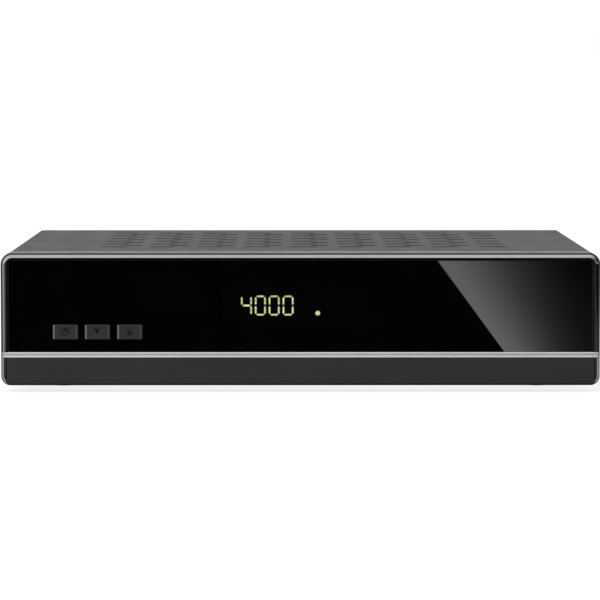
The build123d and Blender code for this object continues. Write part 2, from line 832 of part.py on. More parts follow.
# ---- USB sockets: a thin steel shell closed at the back ----
def usb_shell(x, mouth_y, end_y):
    inward = 1 if end_y > mouth_y else -1
    with BuildSketch(facing(mouth_y)) as outside:
        with Locations((x, usb_level)):
            RectangleRounded(*usb_outside, 0.6)
    extrude(outside.sketch, amount=mouth_y - end_y)
    with BuildSketch(facing(mouth_y)) as inside:
        with Locations((x, usb_level)):
            RectangleRounded(*usb_inside, 0.3)
    extrude(inside.sketch, amount=mouth_y - end_y + inward * usb_end_wall, mode=Mode.SUBTRACT)


usb_end_wall = 0.8
usb_depth = 14.0
front_usb_mouth = rear_wall_front - 0.4

with BuildPart() as usb_rear_socket:
    usb_shell(rear_usb_x, socket_face, socket_face - usb_depth)

usb_rear_socket.part.label = "usb_rear_socket"
export_step(usb_rear_socket.part, "parts/usb_rear_socket.step")

with BuildPart() as usb_front_socket:
    usb_shell(front_usb_x, front_usb_mouth, front_usb_mouth + usb_depth)

usb_front_socket.part.label = "usb_front_socket"
export_step(usb_front_socket.part, "parts/usb_front_socket.step")

# ---- HDMI socket: shell with two sloping lower corners ----
hdmi_depth = 12.0
hdmi_end_wall = 1.0
hdmi_plane = Plane(origin=(hdmi_x, socket_face, hdmi_level), x_dir=(1, 0, 0), z_dir=(0, -1, 0))


def hdmi_outline(shape_width, shape_height, mode=Mode.ADD):
    # A flat bar whose lower corners slope inwards, drawn about its centre.
    w = shape_width / 2
    h = shape_height / 2
    with BuildLine() as outline:
        Polyline(
            (-w, h),
            (w, h),
            (w, -0.2 * h),
            (w - 1.7, -h),
            (1.7 - w, -h),
            (-w, -0.2 * h),
            close=True,
        )
    make_face(outline.edges(), mode=mode)


with BuildPart() as hdmi_socket:
    with BuildSketch(hdmi_plane):
        hdmi_outline(*hdmi_outside)
    extrude(amount=hdmi_depth)
    with BuildSketch(hdmi_plane):
        hdmi_outline(*hdmi_inside)
    extrude(amount=hdmi_depth - hdmi_end_wall, mode=Mode.SUBTRACT)
    # Foot that carries the shell on the board
    block(
        (hdmi_x - 5.0, socket_face - hdmi_depth, board_top),
        (hdmi_x + 5.0, socket_face - 3.0, hdmi_level - hdmi_outside[1] / 2),
    )

hdmi_socket.part.label = "hdmi_socket"
export_step(hdmi_socket.part, "parts/hdmi_socket.step")

# ---- Contact tongues of the HDMI and USB sockets ----
tongue_half_width = 5.5
tongue_bottom = board_top + 3.3
tongue_top = tongue_bottom + 1.8
tongue_setback = 1.4

with BuildPart() as socket_tongues:
    block(
        (hdmi_x - 5.8, socket_face - hdmi_depth + hdmi_end_wall, hdmi_level - 0.2),
        (hdmi_x + 5.8, socket_face - tongue_setback, hdmi_level + 0.9),
    )
    block(
        (rear_usb_x - tongue_half_width, socket_face - usb_depth + usb_end_wall, tongue_bottom),
        (rear_usb_x + tongue_half_width, socket_face - tongue_setback, tongue_top),
    )
    block(
        (front_usb_x - tongue_half_width, front_usb_mouth + tongue_setback, tongue_bottom),
        (front_usb_x + tongue_half_width, front_usb_mouth + usb_depth - usb_end_wall, tongue_top),
    )

socket_tongues.part.label = "socket_tongues"
export_step(socket_tongues.part, "parts/socket_tongues.step")

# ---- SCART socket: shell, contact block and its two rows of contact slits ----
scart_depth = 17.0
scart_wall = 0.8
scart_block = (42.6, 8.8)
scart_plane = Plane(origin=(scart_x, socket_face, scart_level), x_dir=(1, 0, 0), z_dir=(0, -1, 0))

with BuildPart() as scart_socket:
    with BuildSketch(scart_plane):
        scart_outline(*scart_size)
    extrude(amount=scart_depth)
    with BuildSketch(scart_plane):
        scart_outline(scart_size[0] - 2 * scart_wall, scart_size[1] - 2 * scart_wall)
        scart_outline(scart_block[0], scart_block[1], mode=Mode.SUBTRACT)
    extrude(amount=7.0, mode=Mode.SUBTRACT)
    with BuildSketch(scart_plane):
        with GridLocations(3.8, 0, 10, 1):
            with Locations((-1.2, 2.2), (0.2, -2.2)):
                Rectangle(0.9, 2.8)
    extrude(amount=5.0, mode=Mode.SUBTRACT)
    block(
        (scart_x - 18.0, socket_face - scart_depth, board_top),
        (scart_x + 18.0, socket_face - 3.0, scart_level - scart_size[1] / 2),
    )

scart_socket.part.label = "scart_socket"
export_step(scart_socket.part, "parts/scart_socket.step")

# ---- Phono sockets: one moulded block with three collars and inserts, and three metal rings ----
collar_end = rear_face + 1.4
phono_end = rear_face + 9.6
phono_insert_end = phono_end - 0.8
phono_pin_hole = 1.65

with BuildPart() as phono_block:
    block((phono_x - 7.0, panel_inside - 12.0, board_top), (phono_x + 7.0, panel_inside, 52.0))
    for phono_z in phono_levels:
        round_bar(phono_x, panel_inside, collar_end, phono_z, phono_collar)
        round_bar(phono_x, collar_end, phono_insert_end, phono_z, phono_bore)
        round_bar(phono_x, phono_end - 9.0, phono_insert_end, phono_z, phono_pin_hole, mode=Mode.SUBTRACT)

phono_block.part.label = "phono_block"
export_step(phono_block.part, "parts/phono_block.step")

with BuildPart() as phono_rings:
    for phono_z in phono_levels:
        round_bar(phono_x, collar_end, phono_end, phono_z, phono_radius)
        round_bar(phono_x, collar_end, phono_end, phono_z, phono_bore, mode=Mode.SUBTRACT)

phono_rings.part.label = "phono_rings"
export_step(phono_rings.part, "parts/phono_rings.step")

# ---- Mains inlet: two-pole shrouded socket with a flange outside the panel ----
inlet_face = rear_face + 1.6
inlet_cavity_floor = inlet_face - 10.5
inlet_back = rear_face - 15.0
pin_spacing = 8.6

with BuildPart() as mains_inlet:
    with BuildSketch(facing(rear_face)):
        with Locations((inlet_x, mains_level)):
            RectangleRounded(25.0, 17.0, 2.5)
    extrude(amount=rear_face - inlet_face)
    with BuildSketch(facing(inlet_back)):
        with Locations((inlet_x, mains_level)):
            RectangleRounded(*inlet_body, 1.5)
    extrude(amount=inlet_back - rear_face)
    with BuildSketch(facing(inlet_face)):
        with Locations((inlet_x, mains_level)):
            SlotOverall(16.6, 8.2)
    extrude(amount=inlet_face - inlet_cavity_floor, mode=Mode.SUBTRACT)

mains_inlet.part.label = "mains_inlet"
export_step(mains_inlet.part, "parts/mains_inlet.step")

with BuildPart() as inlet_pins:
    for side in (-1, 1):
        round_bar(inlet_x + side * pin_spacing / 2, inlet_cavity_floor, inlet_face - 1.2, mains_level, 1.2)
    pin_tips = inlet_pins.faces().filter_by(Axis.Y).group_by(Axis.Y)[-1].edges()
    fillet(pin_tips, 0.8)

inlet_pins.part.label = "inlet_pins"
export_step(inlet_pins.part, "parts/inlet_pins.step")

# ---- Mains switch: housing with a flange, and a rocker on two trunnions ----
switch_face = rear_face + 1.5
switch_back = rear_face - 17.0
rocker_pivot_y = rear_face - 3.5
rocker_tilt = 11.0
rocker_half_width = 5.1
trunnion_radius = 1.2
rocker_plane = Plane(
    origin=(switch_x, rocker_pivot_y, mains_level),
    x_dir=(0, cos(radians(rocker_tilt)), sin(radians(rocker_tilt))),
    z_dir=(1, 0, 0),
)

with BuildPart() as switch_housing:
    with BuildSketch(facing(rear_face)):
        with Locations((switch_x, mains_level)):
            RectangleRounded(16.6, 22.0, 1.0)
    extrude(amount=rear_face - switch_face)
    with BuildSketch(facing(switch_back)):
        with Locations((switch_x, mains_level)):
            Rectangle(*switch_body)
    extrude(amount=switch_back - rear_face)
    with BuildSketch(facing(switch_face)):
        with Locations((switch_x, mains_level)):
            Rectangle(2 * rocker_half_width + 0.6, 16.0)
    extrude(amount=10.5, mode=Mode.SUBTRACT)
    with BuildSketch(Plane.YZ.offset(switch_x - 6.4)):
        with Locations((rocker_pivot_y, mains_level)):
            Circle(trunnion_radius + 0.06)
    extrude(amount=12.8, mode=Mode.SUBTRACT)

switch_housing.part.label = "switch_housing"
export_step(switch_housing.part, "parts/switch_housing.step")

with BuildPart() as mains_rocker:
    # Drawn square to its own axis on a plane that is tilted to the rest position
    with BuildSketch(rocker_plane):
        with BuildLine():
            ThreePointArc((5.6, -6.6), (4.6, 0.0), (5.6, 6.6))
            Polyline((5.6, 6.6), (2.6, 6.6), (-2.6, 2.4), (-2.6, -2.4), (2.6, -6.6), (5.6, -6.6))
        make_face()
    extrude(amount=rocker_half_width, both=True)
    with BuildSketch(Plane.YZ.offset(switch_x)):
        with Locations((rocker_pivot_y, mains_level)):
            Circle(trunnion_radius)
    extrude(amount=6.2, both=True)

mains_rocker.part.label = "mains_rocker"
export_step(mains_rocker.part, "parts/mains_rocker.step")

# ================= Main board =================

main_edge_left = -54.0
main_edge_right = 121.0
main_step_x = 40.0
main_step_y = -20.0
board_back = panel_inside - 1.7
board_front = bezel_back + 9.0

with BuildPart() as main_pcb:
    with BuildSketch(Plane.XY.offset(board_level)):
        with BuildLine():
            Polyline(
                (main_edge_left, main_step_y),
                (main_step_x, main_step_y),
                (main_step_x, board_front),
                (main_edge_right, board_front),
                (main_edge_right, board_back),
                (main_edge_left, board_back),
                close=True,
            )
        make_face()
        with Locations(*standoffs):
            Circle(screw_radius + 0.4, mode=Mode.SUBTRACT)
    extrude(amount=board_thickness)

main_pcb.part.label = "main_pcb"
export_step(main_pcb.part, "parts/main_pcb.step")

with BuildPart() as board_screws:
    for screw_place in standoffs + supply_standoffs:
        with BuildSketch(Plane.XY.offset(board_top)):
            with Locations(screw_place):
                Circle(2.8)
        extrude(amount=1.8)
        with BuildSketch(Plane.XY.offset(board_top)):
            with Locations(screw_place):
                Circle(screw_radius)
        extrude(amount=-3.6)

board_screws.part.label = "board_screws"
export_step(board_screws.part, "parts/board_screws.step")

# ---- Decoder chip under its finned heat sink ----
chip_place = (40.0, 18.0)
chip_height = 1.6
sink_size = 34.0
sink_base = 2.5

with BuildPart() as decoder_chip:
    with BuildSketch(Plane.XY.offset(board_top)):
        with Locations(chip_place):
            Rectangle(27.0, 27.0)
    extrude(amount=chip_height)
    chamfer(decoder_chip.faces().sort_by(Axis.Z)[-1].edges(), 0.4)

decoder_chip.part.label = "decoder_chip"
export_step(decoder_chip.part, "parts/decoder_chip.step")

with BuildPart() as heat_sink:
    with BuildSketch(Plane.XY.offset(board_top + chip_height)):
        with Locations(chip_place):
            Rectangle(sink_size, sink_size)
    extrude(amount=sink_base)
    with BuildSketch(Plane.XY.offset(board_top + chip_height + sink_base)):
        with Locations(chip_place):
            with GridLocations(4.1, 0, 9, 1):
                Rectangle(1.2, sink_size)
    extrude(amount=9.0)

heat_sink.part.label = "heat_sink"
export_step(heat_sink.part, "parts/heat_sink.step")

with BuildPart() as memory_chips:
    with BuildSketch(Plane.XY.offset(board_top)):
        with Locations((4.0, 32.0), (4.0, 12.0), (66.0, 32.0)):
            Rectangle(10.0, 14.0)
    extrude(amount=1.2)

memory_chips.part.label = "memory_chips"
export_step(memory_chips.part, "parts/memory_chips.step")

capacitor_places = [(-30.0, 6.0), (-30.0, 18.0), (-18.0, 44.0), (8.0, 52.0), (66.0, 14.0), (84.0, 20.0)]

with BuildPart() as board_capacitors:
    with BuildSketch(Plane.XY.offset(board_top)):
        with Locations(*capacitor_places):
            Circle(3.2)
    extrude(amount=11.0)

board_capacitors.part.label = "board_capacitors"
export_step(board_capacitors.part, "parts/board_capacitors.step")

# ---- Card reader behind the flap: a flat shell open at its mouth ----
reader_height = 5.0
reader_depth = 50.0
reader_half_width = 29.0

reader_back = bezel_back + reader_depth
card_half_width = 27.4
card_half_height = 0.7

with BuildPart() as card_reader:
    block(
        (card_slot_x - reader_half_width, bezel_back, board_top),
        (card_slot_x + reader_half_width, reader_back, board_top + reader_height),
    )
    block(
        (card_slot_x - card_half_width, bezel_back, card_slot_z - card_half_height),
        (card_slot_x + card_half_width, reader_back - 3.0, card_slot_z + card_half_height),
        mode=Mode.SUBTRACT,
    )
    # Finger notch in the lid over the card
    with BuildSketch(Plane.XY.offset(board_top + reader_height)):
        with Locations((card_slot_x, reader_back - 14.0)):
            SlotOverall(26.0, 12.0)
    extrude(amount=-1.0, mode=Mode.SUBTRACT)

card_reader.part.label = "card_reader"
export_step(card_reader.part, "parts/card_reader.step")

# ================= Power supply =================

supply_front = -34.0

with BuildPart() as supply_pcb:
    with BuildSketch(Plane.XY.offset(board_level)):
        with Locations((-91.5, (supply_front + board_back) / 2)):
            Rectangle(59.0, board_back - supply_front)
        with Locations(*supply_standoffs):
            Circle(screw_radius + 0.4, mode=Mode.SUBTRACT)
    extrude(amount=board_thickness)

supply_pcb.part.label = "supply_pcb"
export_step(supply_pcb.part, "parts/supply_pcb.step")

# ---- Transformer: a square ferrite core whose centre leg carries the winding ----
transformer_place = (-88.0, -6.0)
core_size = 27.0
core_depth = 10.0
core_level = board_top + 3.0
window_width = 6.0
window_height = 18.0
leg_width = 8.0

with BuildPart() as transformer_core:
    with BuildSketch(facing(transformer_place[1] - core_depth / 2)):
        with Locations((transformer_place[0], core_level + core_size / 2)):
            Rectangle(core_size, core_size)
            with Locations((-(leg_width + window_width) / 2, 0), ((leg_width + window_width) / 2, 0)):
                Rectangle(window_width, window_height, mode=Mode.SUBTRACT)
    extrude(amount=-core_depth)

transformer_core.part.label = "transformer_core"
export_step(transformer_core.part, "parts/transformer_core.step")

coil_width = leg_width + 2 * window_width
coil_middle = core_level + core_size / 2

with BuildPart() as transformer_coil:
    with BuildSketch(Plane.XY.offset(coil_middle - window_height / 2)):
        with Locations(transformer_place):
            RectangleRounded(coil_width, 22.0, 4.0)
            Rectangle(leg_width, core_depth, mode=Mode.SUBTRACT)
    extrude(amount=window_height)
    # Moulded feet of the bobbin, which stand on the board in front of the core and behind it
    for side in (-1, 1):
        foot_y = transformer_place[1] + side * (core_depth / 2 + 3.0)
        block(
            (transformer_place[0] - 9.0, foot_y - 2.5, board_top),
            (transformer_place[0] + 9.0, foot_y + 2.5, coil_middle - window_height / 2),
        )

transformer_coil.part.label = "transformer_coil"
export_step(transformer_coil.part, "parts/transformer_coil.step")

with BuildPart() as supply_capacitors:
    with BuildSketch(Plane.XY.offset(board_top)):
        with Locations((-110.0, 22.0)):
            Circle(8.0)
    extrude(amount=26.0)
    with BuildSketch(Plane.XY.offset(board_top)):
        with Locations((-108.0, -24.0), (-95.0, -26.0), (-82.0, -26.0)):
            Circle(5.0)
    extrude(amount=18.0)

supply_capacitors.part.label = "supply_capacitors"
export_step(supply_capacitors.part, "parts/supply_capacitors.step")

# ---- Heat sink of the switching transistor: an aluminium blade with two wings ----
with BuildPart() as supply_heat_sink:
    with BuildSketch(Plane.XY.offset(board_top)):
        with Locations((-82.0, 22.0)):
            Rectangle(26.0, 2.0)
            with Locations((-12.0, 4.0), (12.0, 4.0)):
                Rectangle(2.0, 8.0)
    extrude(amount=24.0)

supply_heat_sink.part.label = "supply_heat_sink"
export_step(supply_heat_sink.part, "parts/supply_heat_sink.step")

with BuildPart() as line_choke:
    with BuildSketch(facing(38.0)):
        with Locations((-92.0, board_top + 8.0)):
            Rectangle(18.0, 16.0)
            with Locations((-4.6, 0), (4.6, 0)):
                Rectangle(4.0, 9.0, mode=Mode.SUBTRACT)
    extrude(amount=-9.0)

line_choke.part.label = "line_choke"
export_step(line_choke.part, "parts/line_choke.step")

# ---- Glass fuse between its two end caps, lying along X on the board ----
fuse_left = -119.0
fuse_y = 42.0
fuse_cap_radius = 2.9
fuse_stretches = [(fuse_cap_radius, 4.5), (2.5, 8.0), (fuse_cap_radius, 4.5)]

with BuildPart() as line_fuse:
    stretch_start = fuse_left
    for stretch_radius, stretch_length in fuse_stretches:
        with BuildSketch(Plane.YZ.offset(stretch_start)):
            with Locations((fuse_y, board_top + fuse_cap_radius)):
                Circle(stretch_radius)
        extrude(amount=stretch_length)
        stretch_start += stretch_length

line_fuse.part.label = "line_fuse"
export_step(line_fuse.part, "parts/line_fuse.step")

# ---- Mains wires: from the inlet and the switch forwards, then down to the supply board ----
wire_radius = 1.1
wire_starts = [
    (inlet_x - pin_spacing / 2, inlet_back, mains_level),
    (inlet_x + pin_spacing / 2, inlet_back, mains_level),
    (switch_x - 3.0, switch_back, mains_level + 4.0),
    (switch_x + 3.0, switch_back, mains_level - 4.0),
]

with BuildPart() as mains_wires:
    for start_x, start_y, start_z in wire_starts:
        turn_y = start_y - 12.0
        with BuildLine() as wire_path:
            FilletPolyline(
                (start_x, start_y, start_z),
                (start_x, turn_y, start_z),
                (start_x, turn_y, board_top),
                radius=5.4,
            )
        with BuildSketch(Plane(origin=(start_x, start_y, start_z), z_dir=(0, -1, 0))):
            Circle(wire_radius)
        sweep(path=wire_path.line)

mains_wires.part.label = "mains_wires"
export_step(mains_wires.part, "parts/mains_wires.step")

# ---- Supply harness: five thin wires that bridge the gap between the two boards ----
harness_radius = 0.7
harness_height = 7.0

with BuildPart() as supply_harness:
    for wire in range(5):
        wire_y = -4.0 + 2.0 * wire
        with BuildLine() as harness_path:
            FilletPolyline(
                (-66.0, wire_y, board_top),
                (-66.0, wire_y, board_top + harness_height),
                (-50.0, wire_y, board_top + harness_height),
                (-50.0, wire_y, board_top),
                radius=3.1,
            )
        with BuildSketch(Plane.XY.offset(board_top)):
            with Locations((-66.0, wire_y)):
                Circle(harness_radius)
        sweep(path=harness_path.line)

supply_harness.part.label = "supply_harness"
export_step(supply_harness.part, "parts/supply_harness.step")
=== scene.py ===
import math

import bpy
import numpy as np
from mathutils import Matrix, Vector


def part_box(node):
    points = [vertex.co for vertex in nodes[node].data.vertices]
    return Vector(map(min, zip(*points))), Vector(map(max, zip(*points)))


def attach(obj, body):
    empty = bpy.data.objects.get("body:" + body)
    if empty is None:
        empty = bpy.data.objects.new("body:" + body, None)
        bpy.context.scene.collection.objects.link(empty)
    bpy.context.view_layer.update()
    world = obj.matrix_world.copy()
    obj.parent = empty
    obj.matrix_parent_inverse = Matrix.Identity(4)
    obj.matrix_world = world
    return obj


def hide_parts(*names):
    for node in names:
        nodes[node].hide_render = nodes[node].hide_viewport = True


# Satellite television receiver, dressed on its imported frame.
# +Z is up and the front looks towards -Y. Names that end in Mm hold millimetres, other lengths are metres.

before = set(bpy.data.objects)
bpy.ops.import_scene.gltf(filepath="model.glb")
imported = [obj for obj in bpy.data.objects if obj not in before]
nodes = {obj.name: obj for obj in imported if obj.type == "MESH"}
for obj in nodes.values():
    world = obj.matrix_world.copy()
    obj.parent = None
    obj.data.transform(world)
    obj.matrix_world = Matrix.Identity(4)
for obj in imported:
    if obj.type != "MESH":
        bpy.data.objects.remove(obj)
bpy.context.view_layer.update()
mm = 0.001
print("frame loaded with", len(nodes), "nodes")


# Mesh helpers

def meshObject(name, vertices, faces, sharpAngle=35):
    mesh = bpy.data.meshes.new(name)
    mesh.from_pydata(vertices.tolist(), [], faces)
    mesh.polygons.foreach_set("use_smooth", np.ones(len(mesh.polygons), bool))
    mesh.set_sharp_from_angle(angle=math.radians(sharpAngle))
    piece = bpy.data.objects.new(name, mesh)
    bpy.context.scene.collection.objects.link(piece)
    return piece


def gridMesh(name, points, ring=False, sharpAngle=35):
    # points is rows by columns by xyz. Neighbouring rows are joined by quads, and the columns wrap round.
    # A ring also joins its last row to the first. Otherwise a fan to its middle closes each end row.
    rows, columns = points.shape[:2]
    index = np.arange(rows * columns).reshape(rows, columns)
    index = np.concatenate([index, index[:, :1]], axis=1)
    if ring:
        index = np.concatenate([index, index[:1]], axis=0)
    quads = np.stack([index[:-1, :-1], index[:-1, 1:], index[1:, 1:], index[1:, :-1]], axis=-1).reshape(-1, 4)
    vertices = points.reshape(-1, 3)
    faces = quads.tolist()
    triangles = np.concatenate([quads[:, [0, 1, 2]], quads[:, [0, 2, 3]]])
    if not ring:
        first, last = len(vertices), len(vertices) + 1
        vertices = np.concatenate([vertices, [points[0].mean(0), points[-1].mean(0)]])
        startFan = np.stack([np.full(columns, first), index[0, 1:], index[0, :-1]], axis=-1)
        endFan = np.stack([np.full(columns, last), index[-1, :-1], index[-1, 1:]], axis=-1)
        faces += startFan.tolist() + endFan.tolist()
        triangles = np.concatenate([triangles, startFan, endFan])
    # The signed volume tells which way the faces point, and they are turned over where it is negative
    a, b, c = (vertices[triangles[:, k]] for k in range(3))
    if np.einsum("ij,ij->i", a, np.cross(b, c)).sum() < 0:
        faces = [face[::-1] for face in faces]
    return meshObject(name, vertices, faces, sharpAngle)


def joinPieces(name, parts):
    # Several meshes become one piece, put together as arrays.
    vertices, faces, count = [], [], 0
    for part in parts:
        mesh = part.data
        coords = np.empty(len(mesh.vertices) * 3)
        mesh.vertices.foreach_get("co", coords)
        vertices.append(coords.reshape(-1, 3))
        faces += [[i + count for i in polygon.vertices] for polygon in mesh.polygons]
        count += len(mesh.vertices)
        bpy.data.objects.remove(part)
        bpy.data.meshes.remove(mesh)
    return meshObject(name, np.concatenate(vertices), faces)


def storeValues(piece, name, values):
    # One number for each point of the mesh, which its material reads.
    attribute = piece.data.attributes.new(name, "FLOAT", "POINT")
    attribute.data.foreach_set("value", values.astype(np.float32))


def roundedLoop(halfWidth, halfHeight, corner, count):
    # A rounded rectangle, walked anticlockwise from the middle of the right side in equal steps.
    quarter = np.linspace(0, math.pi / 2, 9)
    xs, zs = [np.array([halfWidth])], [np.array([0.0])]
    for turn, (sideX, sideZ) in enumerate([(1, 1), (-1, 1), (-1, -1), (1, -1)]):
        angle = quarter + turn * math.pi / 2
        xs.append(sideX * (halfWidth - corner) + corner * np.cos(angle))
        zs.append(sideZ * (halfHeight - corner) + corner * np.sin(angle))
    x = np.concatenate(xs + [xs[0]])
    z = np.concatenate(zs + [zs[0]])
    walked = np.concatenate([[0], np.cumsum(np.hypot(np.diff(x), np.diff(z)))])
    steps = np.linspace(0, walked[-1], count, endpoint=False)
    return np.interp(steps, walked, x), np.interp(steps, walked, z)


def smoothStep(low, high, value):
    t = np.clip((value - low) / (high - low), 0, 1)
    return t * t * (3 - 2 * t)


# Material helpers

def newMaterial(name):
    material = bpy.data.materials.new(name)
    material.use_nodes = True
    return material, material.node_tree, material.node_tree.nodes["Principled BSDF"]


def glowMaterial(name):
    # Gives off light and reflects none.
    material, tree, shader = newMaterial(name)
    tree.nodes.remove(shader)
    glow = addNode(tree, "ShaderNodeEmission")
    tree.links.new(glow.outputs[0], tree.nodes["Material Output"].inputs["Surface"])
    return material, tree, glow


def addNode(tree, kind, inputs=None, **settings):
    node = tree.nodes.new(kind)
    for key, value in settings.items():
        setattr(node, key, value)
    for key, value in (inputs or {}).items():
        node.inputs[key].default_value = value
    return node


def feed(tree, socket, value):
    # The value is a constant or the output of another node.
    if isinstance(value, bpy.types.NodeSocket):
        tree.links.new(value, socket)
    else:
        socket.default_value = value


def feedAll(tree, node, values):
    for key, value in values.items():
        feed(tree, node.inputs[key], value)


def mixColor(tree, factor, first, second):
    mix = addNode(tree, "ShaderNodeMix", data_type="RGBA")
    tree.links.new(factor, mix.inputs["Factor"])
    for socket, color in ((mix.inputs[6], first), (mix.inputs[7], second)):
        feed(tree, socket, (*color, 1) if isinstance(color, tuple) else color)
    return mix.outputs[2]


def mathNode(tree, operation, first, second=None):
    node = addNode(tree, "ShaderNodeMath", operation=operation)
    feed(tree, node.inputs[0], first)
    if second is not None:
        feed(tree, node.inputs[1], second)
    return node.outputs[0]


def times(tree, first, second):
    return mathNode(tree, "MULTIPLY", first, second)


def minus(tree, first, second):
    return mathNode(tree, "SUBTRACT", first, second)


def linear(tree, value, slope, start):
    # start plus slope times value.
    return mathNode(tree, "ADD", times(tree, value, slope), start)


def pastStart(tree, value, start, slope):
    # slope times what the value has gone past the start.
    return times(tree, minus(tree, value, start), slope)


def within(tree, value, low, high):
    return mathNode(tree, "MINIMUM", mathNode(tree, "MAXIMUM", value, low), high)


def mapRange(tree, value, fromLow, fromHigh, toLow=0, toHigh=1):
    # Carries the first range into the second and stops at its ends.
    node = addNode(tree, "ShaderNodeMapRange", {
        "From Min": fromLow, "From Max": fromHigh, "To Min": toLow, "To Max": toHigh,
    })
    tree.links.new(value, node.inputs["Value"])
    return node.outputs[0]


def inBand(tree, axis, lowMm, highMm):
    # 1 between two places along an axis, else 0.
    above = mathNode(tree, "GREATER_THAN", axis, lowMm * mm)
    below = mathNode(tree, "LESS_THAN", axis, highMm * mm)
    return times(tree, above, below)


def objectAxes(tree):
    # The piece's own coordinates, together and as X, Y and Z.
    coords = addNode(tree, "ShaderNodeTexCoord")
    split = addNode(tree, "ShaderNodeSeparateXYZ")
    tree.links.new(coords.outputs["Object"], split.inputs[0])
    return coords.outputs["Object"], split.outputs[0], split.outputs[1], split.outputs[2]


def noiseValue(tree, coords, sizeMm, detail, stretch=None):
    # Noise whose blotches are about sizeMm across. stretch squeezes the pattern along each axis.
    noise = addNode(tree, "ShaderNodeTexNoise", {"Scale": 1 / (sizeMm * mm), "Detail": detail})
    if stretch:
        mapping = addNode(tree, "ShaderNodeMapping", {"Scale": stretch})
        tree.links.new(coords, mapping.inputs["Vector"])
        coords = mapping.outputs["Vector"]
    tree.links.new(coords, noise.inputs["Vector"])
    return noise.outputs["Fac"]


def spread(tree, noise, low, high):
    # Noise stays round 0.5, so its middle part is carried into the range from low to high.
    return mapRange(tree, noise, 0.3, 0.7, low, high)


# What a finish has where its own look doesn't say otherwise
plainLook = {
    "vary": 0.12, "driftMm": 18, "wearMm": 9, "grainMm": 0.5, "grainDepthMm": 0.03, "bump": 0.3,
    "metallic": 0, "specular": 0.5, "stretch": None, "speck": None,
}


def finish(name, look, colorOf=None):
    # A colour and a roughness that drift a little over the surface, and a fine grain as bump.
    # colorOf may lay a pattern of its own over the colour.
    look = {**plainLook, **look}
    material, tree, shader = newMaterial(name)
    coords, x, y, z = objectAxes(tree)
    drift = noiseValue(tree, coords, look["driftMm"], 4, look["stretch"])
    darker = tuple(c * (1 - look["vary"]) for c in look["color"])
    lighter = tuple(min(1, c * (1 + look["vary"])) for c in look["color"])
    base = mixColor(tree, spread(tree, drift, 0, 1), darker, lighter)
    if colorOf:
        base = colorOf(tree, base, coords, x, y, z)
    speck = look["speck"]
    if speck:
        dots = noiseValue(tree, coords, speck["sizeMm"], 1)
        base = mixColor(tree, mapRange(tree, dots, speck["from"], speck["from"] + 0.05), base, speck["color"])
    worn = noiseValue(tree, coords, look["wearMm"], 5, look["stretch"])
    grain = noiseValue(tree, coords, look["grainMm"], 2, look["stretch"])
    bump = addNode(tree, "ShaderNodeBump", {"Strength": look["bump"], "Distance": look["grainDepthMm"] * mm})
    tree.links.new(grain, bump.inputs["Height"])
    feedAll(tree, shader, {
        "Base Color": base, "Roughness": spread(tree, worn, *look["roughness"]), "Normal": bump.outputs[0],
        "Metallic": look["metallic"], "Specular IOR Level": look["specular"],
    })
    return material


def stripes(axis, periodMm, above, color):
    # Bands across the axis, wherever a sine wave of that period stands above the given level.
    def pattern(tree, base, coords, x, y, z):
        along = {"x": x, "y": y, "z": z}[axis]
        wave = mathNode(tree, "SINE", times(tree, along, 2 * math.pi / (periodMm * mm)))
        return mixColor(tree, mathNode(tree, "GREATER_THAN", wave, above), base, color)
    return pattern


def bands(axis, placesMm, color):
    # Another colour at some places along the axis, each given by where it begins and ends.
    def pattern(tree, base, coords, x, y, z):
        along = {"x": x, "y": y, "z": z}[axis]
        for placeMm in placesMm:
            base = mixColor(tree, inBand(tree, along, *placeMm), base, color)
        return base
    return pattern


def dress(material, *names):
    # Gives CAD nodes their finish.
    for nodeName in names:
        slots = nodes[nodeName].data.materials
        slots.clear()
        slots.append(material)


def dressPiece(piece, material, body, slotName, *replaced):
    # A new piece gets its finish, rides on its body and stands for the CAD nodes that it replaces.
    piece.data.materials.append(material)
    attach(piece, body)
    if replaced:
        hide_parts(*replaced)


# Camera, light and stage

cameraPlace = {
    "left": 0.0046, "back": 1.437, "height": 0.1448, "tiltDegrees": 4.4536, "turnDegrees": 0.1868,
    "lens": 186.27,
}
studio = {
    "ambient": 0.5,
    "floor": {"reach": 150, "color": 0.8, "seenColor": 0.36, "near": 0.3, "far": 2.5, "glow": (0.77, 0.85)},
    "softboxes": {
        "topBox": {"place": (-0.35, -0.35, 1.25), "aim": (0, 0, 0.03), "size": (1.3, 1.0), "watts": 7},
        "leftBox": {"place": (-1.25, -0.95, 0.42), "aim": (0, -0.05, 0.03), "size": (0.9, 0.8), "watts": 8},
        "rightBox": {"place": (1.3, -1.2, 0.9), "aim": (0, -0.05, 0.03), "size": (0.7, 0.9), "watts": 2.5},
    },
}


def makeCamera():
    data = bpy.data.cameras.new("frontCamera")
    data.lens = cameraPlace["lens"]
    data.sensor_width = 36
    data.clip_start = 0.05
    camera = bpy.data.objects.new("frontCamera", data)
    camera.location = (-cameraPlace["left"], -cameraPlace["back"], cameraPlace["height"])
    tilt, turn = math.radians(90 - cameraPlace["tiltDegrees"]), math.radians(-cameraPlace["turnDegrees"])
    camera.rotation_euler = (tilt, 0, turn)
    bpy.context.scene.collection.objects.link(camera)
    bpy.context.scene.camera = camera
    bpy.context.scene.view_settings.view_transform = "Standard"


def seenRays(tree):
    # 1 for rays from the camera, from gloss and through glass, 0 for rays that only light things.
    path = addNode(tree, "ShaderNodeLightPath")
    either = mathNode(tree, "MAXIMUM", path.outputs["Is Camera Ray"], path.outputs["Is Glossy Ray"])
    return mathNode(tree, "MAXIMUM", either, path.outputs["Is Transmission Ray"])


